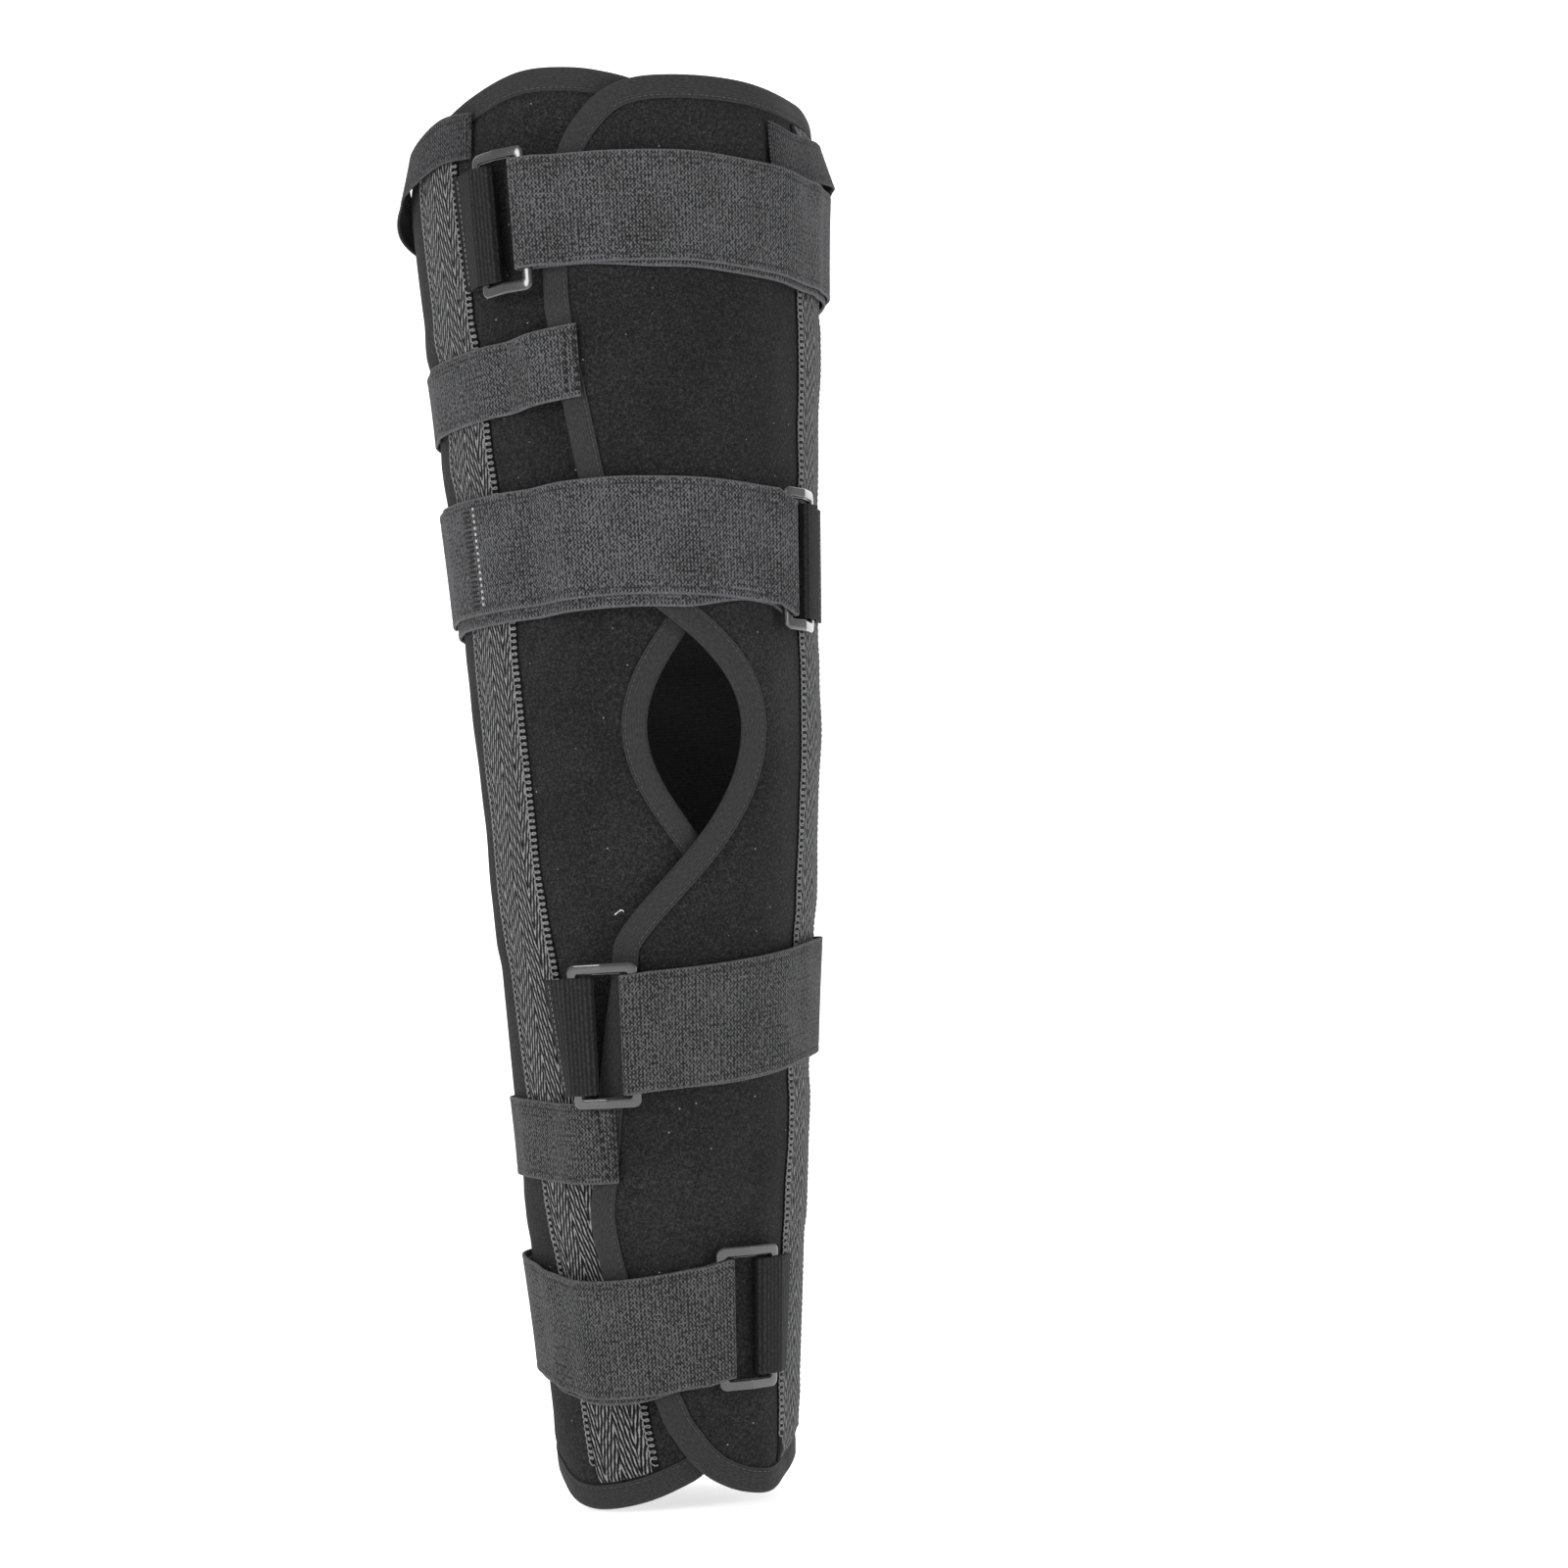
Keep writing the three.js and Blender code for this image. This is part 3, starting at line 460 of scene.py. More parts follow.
class Layers:
    """The heights of all that lies on the wrap, so that each strip rests on what is under it."""

    SLOPE = 0.5
    ARC_STEP = 6.5
    PLATEAU = 0.8
    SAMPLES = 24

    def __init__(self, leg: LegForm) -> None:
        """Makes the lines of the edges, pockets, band and tabs.

        Args:
            leg: The leg's form.
        """
        self.leg = leg
        self.sizes = leg.sizes
        self.top_edge, self.hem = by_angle(TOP_EDGE), by_angle(HEM)
        self.left_pocket, self.right_pocket = by_height(LEFT_POCKET, 1), by_height(RIGHT_POCKET, 1)
        self._right_front, self._left_front = by_height(RIGHT_FRONT, 1), by_height(LEFT_FRONT, 1)
        self.band_height = by_angle(BAND)
        self.band_flare = smooth_line([r[0] for r in BAND], [r[2] * self.sizes.band_width for r in BAND])
        self.tab_lines = [self.line_of(tab.at, tab.line, tab.width) for tab in TABS]
        self.tab_tops = [self._tab_top(tab, line) for tab, line in zip(TABS, self.tab_lines)]
        self.strap_lines = [self.line_of(strap.at, strap.line, strap.width) for strap in STRAPS]

    def line_of(self, at: float, line: Sequence[Sequence[float]], width: float) -> Line:
        """The height of a strip's middle against the angle."""
        return smooth_line([p[0] for p in line], [float(height_of(at)) + p[1] * width for p in line])

    def _tab_top(self, tab: TabPlan, line: Line) -> Line:
        """The height of a seated tab's outer face against the angle, read from a fine table.

        Args:
            tab: The tab's plan.
            line: Its middle line.

        Returns:
            A line of outs against the angle.
        """
        angles = np.arange(tab.start - 2, tab.end + 2, 0.1)
        seated = self.seat(angles, line(angles), tab.width, On(tabs=False))
        tops = seated + self.sizes.clearance + self.sizes.tab_thickness

        def top(places: np.ndarray) -> np.ndarray:
            """The height at each angle."""
            return np.interp(places, angles, tops)

        return top

    def scallop(self, plan: tuple[float, float, float], z: np.ndarray) -> np.ndarray:
        """A scallop's depth in degrees: (1 - share^2)^1.5 of its depth, share being the height's.

        Args:
            plan: The scallop's plan.
            z: Heights.

        Returns:
            The depths there.
        """
        depth, above, below = plan
        share = np.clip(z / np.where(np.asarray(z) > 0, above, below), -1, 1)
        return depth * (1 - share * share) ** 1.5 / float(self.leg.rate(0.0, 0.0))

    def right_front(self, z: np.ndarray) -> np.ndarray:
        """The angle of the right flap's front edge."""
        return self._right_front(z) + self.scallop(RIGHT_SCALLOP, z)

    def left_front(self, z: np.ndarray) -> np.ndarray:
        """The angle of the left flap's front edge."""
        return self._left_front(z) - self.scallop(LEFT_SCALLOP, z)

    def lift(self, angle: np.ndarray) -> np.ndarray:
        """How far the right flap has climbed onto the left one."""
        return self.sizes.flap_lift * ease(self.sizes.climb_from, self.sizes.climb_to, angle)

    def surface(self, angle: np.ndarray, z: np.ndarray, on: On) -> np.ndarray:
        """The outer height of what is already on the wrap.

        Args:
            angle: Degrees from -180 to 180.
            z: Heights.
            on: What counts.

        Returns:
            The out of the highest thing there.
        """
        s = self.sizes
        reach = (s.pocket_width / 2 + 1) / self.leg.rate(angle, z)
        near_left = np.abs(angle - self.left_pocket(z)) < reach
        near_right = np.abs(angle - self.right_pocket(z)) < reach
        on_pocket = (near_left | near_right) & on.pockets
        on_flap = angle > self.right_front(z) - 1
        raised = s.wall + np.where(on_flap, self.lift(angle), 0)
        top = raised + np.where(on_pocket, s.pocket_top, 0)
        on_binding = on_flap & (angle < self.right_pocket(z))
        top = np.where(on_binding, np.maximum(top, raised + s.binding_proud), top)
        low = z < self.hem(np.where(angle < 0, angle + TURN, angle)) + 2 * s.binding_width
        top = np.where(low, np.maximum(top, s.wall + s.binding_proud), top)
        if not on.tabs:
            return top
        for tab, line, tab_top in zip(TABS, self.tab_lines, self.tab_tops):
            inside = (angle > tab.start - 1) & (angle < tab.end + 1)
            inside &= np.abs(z - line(angle)) < tab.width / 2 + 1
            top = np.where(inside, np.maximum(top, tab_top(angle)), top)
        on_band = (angle > BAND[0][0] - 1) & (angle < 66)
        on_band &= np.abs(z - self.band_height(angle)) < s.band_width / 2 + 1
        return np.where(on_band, top + s.clearance + s.band_thickness, top)

    def seat(self, angle: np.ndarray, z: np.ndarray, width: float, on: On = On()) -> np.ndarray:
        """The height that a taut strip lies at.

        It is the highest thing under the strip within a step, with an even slope down from that.

        Args:
            angle: Degrees round the leg.
            z: The strip's middle height.
            width: The strip's width.
            on: What it may rest on.

        Returns:
            The out of its underside.
        """
        angle, z = np.broadcast_arrays(np.asarray(angle, float), np.asarray(z, float))
        height = np.zeros(angle.shape)
        for away in np.linspace(-3 * self.ARC_STEP, 3 * self.ARC_STEP, self.SAMPLES + 1):
            there = angle + away
            there = there - TURN * np.round(there / TURN)
            run = max(0.0, abs(away) - self.PLATEAU * self.ARC_STEP) * self.leg.rate(there, z)
            for share in (-0.5, -0.25, 0.0, 0.25, 0.5):
                found = self.surface(there, z + share * width, on) - self.SLOPE * run
                height = np.maximum(height, found)
        return height + self.leg.swell(z, width)

    def softness(self, angle: np.ndarray, z: np.ndarray) -> np.ndarray:
        """How far the padded wall stands proud of its plain form.

        Under the straps, tabs and band it is pressed in a little. Away from them it swells and
        undulates, as padding does between straps.

        Args:
            angle: Degrees round the leg, from -40 to 400.
            z: Heights.

        Returns:
            Millimetres, negative inwards.
        """
        around = angle - TURN * np.round(angle / TURN)
        free = np.ones(np.broadcast(angle, z).shape)
        for plan, line in zip(STRAPS, self.strap_lines):
            free *= ease(plan.width / 2 + 4, plan.width / 2 + 17, np.abs(z - line(around)))
        for tab, line in zip(TABS, self.tab_lines):
            away = ease(tab.width / 2 + 1, tab.width / 2 + 10, np.abs(z - line(around)))
            before = ease(tab.start - 2, tab.start - 14, around)
            free *= np.maximum(away, np.maximum(before, ease(tab.end + 2, tab.end + 12, around)))
        turned = np.where(around < BAND[0][0] - 5, around + TURN, around)
        half = self.sizes.band_width / 2
        away = ease(half + 1, half + 10, np.abs(z - self.band_height(turned)))
        free *= np.maximum(away, ease(BAND[-1][0] + 2, BAND[-1][0] + 10, turned))
        swollen = 0.55 + 0.75 * wave(around / 70, z / 95, 3) + 0.45 * wave(around / 26, z / 38, 8)
        return free * swollen - 0.2 * (1 - free)


# Meshes


@dataclass
class Surface:
    """A grid of points with a place on the cloth for each, both in millimetres."""

    outer: np.ndarray
    inner: np.ndarray
    cloth: np.ndarray


def grid_faces(
    rows: int, columns: int, ring_rows: bool = False, ring_columns: bool = False
) -> tuple[np.ndarray, np.ndarray]:
    """Four-sided faces of a grid.

    Args:
        rows: Points along the first axis.
        columns: Points along the second axis.
        ring_rows: True if the last row joins the first.
        ring_columns: True if the last column joins the first.

    Returns:
        The faces as point numbers, and the same faces numbered on a grid that isn't joined up.
    """
    i, j = np.meshgrid(
        np.arange(rows if ring_rows else rows - 1),
        np.arange(columns if ring_columns else columns - 1),
        indexing="ij",
    )
    corners = [(i, j), (i, j + 1), (i + 1, j + 1), (i + 1, j)]
    joined = np.stack([(a % rows) * columns + b % columns for a, b in corners], axis=-1)
    open_columns = columns + int(ring_columns)
    loose = np.stack([a * open_columns + b for a, b in corners], axis=-1)
    return joined.reshape(-1, 4), loose.reshape(-1, 4)


def mesh_piece(
    name: str,
    points: np.ndarray,
    faces: np.ndarray,
    materials: Sequence[bpy.types.Material],
    cloth: np.ndarray | None = None,
    which: np.ndarray | None = None,
    crease: float | None = None,
    stands_for: tuple[str, str] | None = None,
) -> bpy.types.Object:
    """Makes an object of four-sided faces, turned so that they face out.

    The volume is the sum over the faces of corner one times the cross product of its neighbours;
    where it is negative every face is turned over.

    Args:
        name: The object's name.
        points: Points in millimetres, (n, 3).
        faces: Point numbers, (m, 4).
        materials: The materials, in slot order.
        cloth: Place on the cloth for each face corner in millimetres, (m, 4, 2).
        which: Material slot for each face.
        crease: Edges that bend by more than this many degrees stay sharp.
        stands_for: The CAD node that it replaces, and its material's slot.

    Returns:
        The object, at the origin, riding on the body.
    """
    a, b, c, d = (points[faces[:, k]] for k in range(4))
    volume = (a * np.cross(b, c)).sum() + (a * np.cross(c, d)).sum()
    if volume < 0:
        faces = faces[:, ::-1]
        cloth = None if cloth is None else cloth[:, ::-1]
    mesh = bpy.data.meshes.new(name)
    mesh.vertices.add(len(points))
    mesh.vertices.foreach_set("co", (points * MM).astype(np.float32).ravel())
    mesh.loops.add(faces.size)
    mesh.loops.foreach_set("vertex_index", np.ascontiguousarray(faces, np.int32).ravel())
    mesh.polygons.add(len(faces))
    mesh.polygons.foreach_set("loop_start", np.arange(0, faces.size, 4, dtype=np.int32))
    if which is not None:
        mesh.polygons.foreach_set("material_index", which.astype(np.int32))
    mesh.polygons.foreach_set("use_smooth", np.ones(len(faces), bool))
    mesh.update(calc_edges=True)
    if cloth is not None:
        layer = mesh.uv_layers.new(name="cloth")
        layer.data.foreach_set("uv", (cloth * MM).astype(np.float32).ravel())
    if crease is not None:
        mesh.set_sharp_from_angle(angle=math.radians(crease))
    for material in materials:
        mesh.materials.append(material)
    piece = bpy.data.objects.new(name, mesh)
    bpy.context.scene.collection.objects.link(piece)
    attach(piece, BODY)
    if stands_for:
        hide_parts(stands_for[0])
    LOG.info("%s: %d faces", name, len(faces))
    return piece


def shell_piece(
    name: str, surface: Surface, materials: Sequence[bpy.types.Material], stands_for: tuple[str, str]
) -> bpy.types.Object:
    """Makes a closed cloth from its outer and inner grids, joined by a rim.

    Args:
        name: The object's name.
        surface: The grids.
        materials: One material, or one for the outer face and the rim and one for the inner face.
        stands_for: The CAD node that it replaces, and its material's slot.

    Returns:
        The object.
    """
    rows, columns = surface.outer.shape[:2]
    count = rows * columns
    quads, _ = grid_faces(rows, columns)
    number = np.arange(count).reshape(rows, columns)
    edge = np.concatenate([number[0, :-1], number[:-1, -1], number[-1, :0:-1], number[:0:-1, 0]])
    after = np.roll(edge, -1)
    rim = np.stack([after, edge, edge + count, after + count], axis=-1)
    faces = np.concatenate([quads, quads[:, ::-1] + count, rim])
    points = np.concatenate([surface.outer.reshape(-1, 3), surface.inner.reshape(-1, 3)])
    cloth = np.tile(surface.cloth.reshape(-1, 2), (2, 1))[faces]
    which = np.zeros(len(faces), int)
    if len(materials) > 1:
        which[len(quads) : 2 * len(quads)] = 1
    return mesh_piece(name, points, faces, materials, cloth, which, stands_for=stands_for)


def sections_along(path: np.ndarray, normal: np.ndarray, radius: np.ndarray, sides: int) -> np.ndarray:
    """Round sections carried along paths.

    Each section is the path's point plus the radius times (cos of the normal + sin of the side
    direction), the side direction being the tangent's cross product with the normal.

    Args:
        path: Points, (..., n, 3).
        normal: Directions away from the cloth, of the same shape.
        radius: Radius at each point, (..., n).
        sides: Points round a section.

    Returns:
        Points, (..., n, sides, 3).
    """
    along = np.gradient(path, axis=-2)
    along /= np.linalg.norm(along, axis=-1, keepdims=True)
    aside = np.cross(along, normal)
    aside /= np.linalg.norm(aside, axis=-1, keepdims=True)
    up = np.cross(aside, along)
    turn = np.linspace(0, 2 * np.pi, sides, endpoint=False)
    spread = radius[..., None, None]
    return (
        path[..., None, :]
        + spread * np.cos(turn)[:, None] * up[..., None, :]
        + spread * np.sin(turn)[:, None] * aside[..., None, :]
    )


def thread_piece(
    name: str, path: np.ndarray, normal: np.ndarray, radius: float, material: bpy.types.Material
) -> None:
    """A sewing thread along one or several open paths, with drawn-in ends.

    Args:
        name: The object's name.
        path: Points, (paths, n, 3).
        normal: Directions away from the cloth, of the same shape.
        radius: The thread's radius in millimetres.
        material: The thread.
    """
    sides, (paths, count) = 6, path.shape[:2]
    thin = np.full((paths, count), radius)
    thin[:, [0, -1]] *= 0.3
    points = sections_along(path, normal, thin, sides).reshape(-1, 3)
    start_cap = np.array([[3, 2, 1, 0], [5, 4, 3, 0]])
    end_cap = start_cap[:, ::-1] + (count - 1) * sides
    first = np.concatenate([grid_faces(count, sides, ring_columns=True)[0], start_cap, end_cap])
    starts = np.arange(paths) * count * sides
    faces = (first[None] + starts[:, None, None]).reshape(-1, 4)
    mesh_piece(name, points, faces, [material])


@dataclass(frozen=True)
class Stitching:
    """A row of sewn stitches: pitch, length, thread radius and rise, in millimetres."""

    pitch: float
    length: float
    radius: float
    rise: float

    def sew(self, name: str, line: tuple[np.ndarray, np.ndarray], material: bpy.types.Material) -> None:
        """Sews along a line. Each stitch is an arch: its height is the cosine of its turn from its middle.

        Args:
            name: The object's name.
            line: Points on the cloth and directions away from it, both (n, 3).
            material: The thread.
        """
        track, normal = line
        steps = np.linalg.norm(np.diff(track, axis=0), axis=1)
        far = np.concatenate([[0], np.cumsum(steps)])
        middles = np.arange(self.pitch / 2, far[-1], self.pitch)
        shares = np.linspace(-0.5, 0.5, 6)
        at = middles[:, None] + shares * self.length
        path, out = (
            np.stack([np.interp(at, far, part[:, k]) for k in range(3)], axis=-1) for part in (track, normal)
        )
        out /= np.linalg.norm(out, axis=-1, keepdims=True)
        height = self.rise * np.cos(np.pi * shares) - self.radius * 0.6
        thread_piece(name, path + height[:, None] * out, out, self.radius, material)


# Finishes


class Graph:
    """A material's nodes round its principled shader."""

    def __init__(self, name: str) -> None:
        """Makes an empty material.

        Args:
            name: The material's name.
        """
        self.material = bpy.data.materials.new(name)
        self.material.use_nodes = True
        self.tree = self.material.node_tree
        self.shader = self.tree.nodes["Principled BSDF"]

    def add(
        self,
        kind: str,
        *values: object,
        output: int | str = 0,
        stops: Sequence[tuple[float, str]] = (),
        **named: object,
    ) -> bpy.types.NodeSocket:
        """Adds a node with its settings and links.

        Args:
            kind: The node's type after "ShaderNode".
            values: A value or another node's output for each of its first inputs.
            output: Which of its outputs is wanted.
            stops: The places and hex colours of a colour ramp.
            named: Inputs by name or identifier, which start with a capital, and the node's settings.

        Returns:
            The output.
        """
        node = self.tree.nodes.new(f"ShaderNode{kind}")
        for key in [key for key in named if key[0].islower()]:
            setattr(node, key, named.pop(key))
        for key, value in [*enumerate(values), *named.items()]:
            by_name = (put for put in node.inputs if key in (put.identifier, put.name))
            socket = node.inputs[key] if isinstance(key, int) else next(by_name)
            if isinstance(value, bpy.types.NodeSocket):
                self.tree.links.new(value, socket)
            else:
                socket.default_value = value
        if stops:
            ramp = node.color_ramp.elements
            ramp[0].position, ramp[-1].position = stops[0][0], stops[-1][0]
            for place, _ in stops[1:-1]:
                ramp.new(place)
            for element, (_, code) in zip(ramp, stops):
                element.color = linear_colour(code)
        return node.outputs[output]

    def dress(
        self, colour: bpy.types.NodeSocket, height: bpy.types.NodeSocket, depth: float, **fixed: float
    ) -> bpy.types.Material:
        """Links a colour and a relief to the shader and sets its fixed numbers.

        Args:
            colour: The base colour.
            height: The relief, from 0 to 1.
            depth: The relief's depth in millimetres.
            fixed: Values of the shader's inputs, named with underscores.

        Returns:
            The material.
        """
        relief = self.add("Bump", Height=height, Distance=depth * MM, Strength=1.0)
        self.tree.links.new(relief, self.shader.inputs["Normal"])
        self.tree.links.new(colour, self.shader.inputs["Base Color"])
        for key, value in fixed.items():
            self.shader.inputs[key.replace("_", " ")].default_value = value
        return self.material

    def millimetres(self, on_cloth: bool) -> bpy.types.NodeSocket:
        """The place on the cloth, or in the object's own space, in millimetres."""
        source = self.add("UVMap", uv_map="cloth") if on_cloth else self.add("TexCoord", output="Object")
        return self.add("VectorMath", source, (1 / MM,) * 3, operation="MULTIPLY")


@dataclass(frozen=True)
class BrushedLaminate:
    """Nylon loop cloth brushed to a nap and laminated to foam.

    The nap scatters nearly all light, so the cloth is close to black with no gloss, a fine grain of
    about a millimetre and a few bright ends of fibre.
    """

    name: str = "brushed_loop_laminate"
    dark: str = "0f0f10"
    middle: str = "1e1e1f"
    light: str = "353536"
    lint: str = "7a7a7a"
    grain_mm: float = 1.35
    nap_mm: float = 0.6
    cloud_mm: float = 45.0
    lint_spacing_mm: float = 6.0
    lint_radius: float = 0.06
    relief_mm: float = 0.35

    def build(self) -> bpy.types.Material:
        """Mixes three tones by grain and cloud noise; a sparse scatter of small round spots is the lint.

        Returns:
            The material.
        """
        g = Graph(self.name)
        place = g.millimetres(on_cloth=False)
        grain = g.add("TexNoise", Vector=place, Scale=1 / self.grain_mm, Detail=3.0, Roughness=0.7)
        nap = g.add("TexNoise", Vector=place, Scale=1 / self.nap_mm, Detail=2.0)
        cloud = g.add("TexNoise", Vector=place, Scale=1 / self.cloud_mm, Detail=3.0)
        fine = g.add("Math", grain, nap, operation="ADD")
        tone = g.add("Math", fine, 0.85, -0.5, operation="MULTIPLY_ADD")
        mixed = g.add("Math", cloud, 0.3, tone, operation="MULTIPLY_ADD")
        cloth = g.add("ValToRGB", mixed, stops=((0.28, self.dark), (0.5, self.middle), (0.75, self.light)))
        spots = g.add("TexVoronoi", Vector=place, Scale=1 / self.lint_spacing_mm)
        near = g.add("Math", spots, self.lint_radius, operation="LESS_THAN")
        chance = g.add("SeparateColor", spots.node.outputs["Color"])
        chosen = g.add("Math", chance, 0.62, operation="GREATER_THAN")
        bright = g.add("Math", near, chosen, operation="MULTIPLY")
        colour = g.add(
            "Mix", output=2, data_type="RGBA", Factor=bright, A_Color=cloth, B_Color=linear_colour(self.lint)
        )
        return g.dress(
            colour, fine, self.relief_mm,
            Roughness=0.95, Specular_IOR_Level=0.12, Sheen_Weight=0.02, Sheen_Roughness=0.6,
        )


@dataclass(frozen=True)
class WovenElastic:
    """Elastic of polyester over rubber, woven with fine ribs across its width.

    The polyester has a faint sheen; each edge is a lighter selvedge, with a sewn line set in from it.
    The real ribs are about 0.8 mm apart and are drawn at 1.5 mm, so that they show.
    """

    name: str
    width: float
    dark: str = "191919"
    middle: str = "343435"
    light: str = "58585a"
    rib_mm: float = 1.5
    thread_mm: float = 1.8
    mottle_mm: float = 1.4
    selvedge_mm: float = 0.9
    line_mm: float = 3.2
    relief_mm: float = 0.3

    def build(self) -> bpy.types.Material:
        """Makes ribs as a sine along the cloth and threads as a sine across it; noise breaks both up.

        Returns:
            The material.
        """
        g = Graph(self.name)
        place = g.millimetres(on_cloth=True)
        across = g.add("SeparateXYZ", place)
        along = across.node.outputs[1]
        mottle = g.add("TexNoise", Vector=place, Scale=1 / self.mottle_mm, Detail=3.0, Roughness=0.65)
        uneven = g.add("Math", mottle, 4.5, operation="MULTIPLY")
        rib_turn = g.add("Math", along, 2 * math.pi / self.rib_mm, uneven, operation="MULTIPLY_ADD")
        rib = g.add("Math", rib_turn, operation="SINE")
        thread_turn = g.add("Math", across, 2 * math.pi / self.thread_mm, operation="MULTIPLY")
        thread = g.add("Math", thread_turn, operation="SINE")
        weave = g.add("Math", rib, thread, operation="MULTIPLY")
        both = g.add("Math", rib, 0.6, weave, operation="MULTIPLY_ADD")
        height = g.add("Math", both, 0.16, mottle, operation="MULTIPLY_ADD")
        broad = g.add("TexNoise", Vector=place, Scale=1 / (14 * self.mottle_mm), Detail=2.0)
        tone = g.add("Math", broad, 0.16, -0.08, operation="MULTIPLY_ADD")
        total = g.add("Math", height, tone, operation="ADD")
        cloth = g.add("ValToRGB", total, stops=((0.41, self.dark), (0.5, self.middle), (0.6, self.light)))
        middle_out = g.add("Math", across, operation="ABSOLUTE")
        from_edge = g.add("Math", self.width / 2, middle_out, operation="SUBTRACT")
        on_edge = g.add("MapRange", from_edge, self.selvedge_mm * 0.7, self.selvedge_mm * 1.3, 0.55, 0.0)
        off_line = g.add("Math", from_edge, self.line_mm, 0.45, operation="COMPARE")
        line_weight = g.add("Math", off_line, 0.4, operation="MULTIPLY")
        colour = cloth
        for weight, tint in ((on_edge, self.light), (line_weight, self.dark)):
            colour = g.add(
                "Mix", output=2, data_type="RGBA", Factor=weight, A_Color=colour, B_Color=linear_colour(tint)
            )
        return g.dress(
            colour, height, self.relief_mm,
            Roughness=0.85, Specular_IOR_Level=0.2, Sheen_Weight=0.02, Sheen_Roughness=0.5,
        )


@dataclass(frozen=True)
class HerringboneTape:
    """Polyester stay tape in a steep herringbone, light threads over a dark ground.

    Columns of near-upright floats lean one way and then the other. The floats are 1.65 mm apart, as
    in the photograph. The edges beyond the chain stitches, drawn down by them, carry painted shade.
    """

    name: str = "herringbone_stay_tape"
    ground: str = "040405"
    middle: str = "1c1c1d"
    float_colour: str = "8a8a8b"
    # seam_mm places the chain stitch; beyond it the tape's edge is painted dark as painted shade
    seam_mm: float = 3.2
    edge_shade_fade_mm: float = 0.4
    column_mm: float = 8.2
    spacing_mm: float = 1.65
    lean: float = 0.2
    float_length_mm: float = 7.5
    relief_mm: float = 0.5

    def build(self) -> bpy.types.Material:
        """Makes floats whose phase is a zigzag across the cloth plus the lean times the length along it.

        Returns:
            The material.
        """
        g = Graph(self.name)
        place = g.millimetres(on_cloth=True)
        across = g.add("SeparateXYZ", place)
        along = across.node.outputs[1]
        zigzag = g.add("Math", across, self.column_mm, operation="PINGPONG")
        sway = g.add("TexNoise", Vector=place, Scale=0.16, Detail=2.0)
        leaned = g.add("Math", along, self.lean, zigzag, operation="MULTIPLY_ADD")
        shifted = g.add("Math", sway, 1.1, leaned, operation="MULTIPLY_ADD")
        turn = g.add("Math", shifted, 2 * math.pi / self.spacing_mm, operation="MULTIPLY")
        floats = g.add("Math", turn, operation="SINE")
        number = g.add("Math", shifted, self.spacing_mm, operation="DIVIDE")
        whole = g.add("Math", number, operation="FLOOR")
        start = g.add("Math", whole, 2.3, operation="MULTIPLY")
        break_turn = g.add("Math", along, 2 * math.pi / self.float_length_mm, start, operation="MULTIPLY_ADD")
        breaks = g.add("Math", break_turn, operation="SINE")
        grain = g.add("TexNoise", Vector=place, Scale=0.9, Detail=2.0)
        uneven = g.add("Math", grain, 0.6, 0.18, operation="MULTIPLY_ADD")
        woven = g.add("Math", floats, 0.3, uneven, operation="MULTIPLY_ADD")
        height = g.add("Math", breaks, 0.13, woven, operation="MULTIPLY_ADD")
        stops = ((0.3, self.ground), (0.5, self.middle), (0.85, self.float_colour))
        cloth = g.add("ValToRGB", height, stops=stops)
        aside = g.add("Math", across, operation="ABSOLUTE")
        # Painted shade: beyond the chain stitch the tape takes the near-black ground colour, for the shade of
        # its drawn-down edge
        seam_at = SIZES.pocket_width / 2 - self.seam_mm
        seam = g.add("MapRange", aside, seam_at - self.edge_shade_fade_mm, seam_at)
        colour = g.add(
            "Mix", output=2, data_type="RGBA", Factor=seam, A_Color=cloth, B_Color=linear_colour(self.ground)
        )
        return g.dress(colour, height, self.relief_mm, Roughness=0.8, Specular_IOR_Level=0.2)


@dataclass(frozen=True)
class KnitBinding:
    """A folded binding tape of fine warp knit.

    Its close ribs run along the tape. It is a little lighter and smoother than the brushed cloth.
    """

    name: str = "knit_edge_binding"
    dark: str = "202021"
    middle: str = "29292a"
    light: str = "343435"
    rib_mm: float = 1.1
    relief_mm: float = 0.12

    def build(self) -> bpy.types.Material:
        """Makes ribs as a sine across the tape; noise stretched along the tape makes it uneven.

        Returns:
            The material.
        """
        g = Graph(self.name)
        place = g.millimetres(on_cloth=True)
        stretched = g.add("Mapping", Vector=place, Scale=(1.0, 0.35, 1.0))
        noise = g.add("TexNoise", Vector=stretched, Scale=1.5, Detail=2.0, Roughness=0.6)
        across = g.add("SeparateXYZ", place)
        turn = g.add("Math", across, 2 * math.pi / self.rib_mm, operation="MULTIPLY")
        rib = g.add("Math", turn, operation="SINE")
        height = g.add("Math", rib, 0.06, noise, operation="MULTIPLY_ADD")
        colour = g.add("ValToRGB", height, stops=((0.3, self.dark), (0.5, self.middle), (0.74, self.light)))
        return g.dress(
            colour, height, self.relief_mm,
            Roughness=0.82, Specular_IOR_Level=0.22, Sheen_Weight=0.02, Sheen_Roughness=0.5,
        )


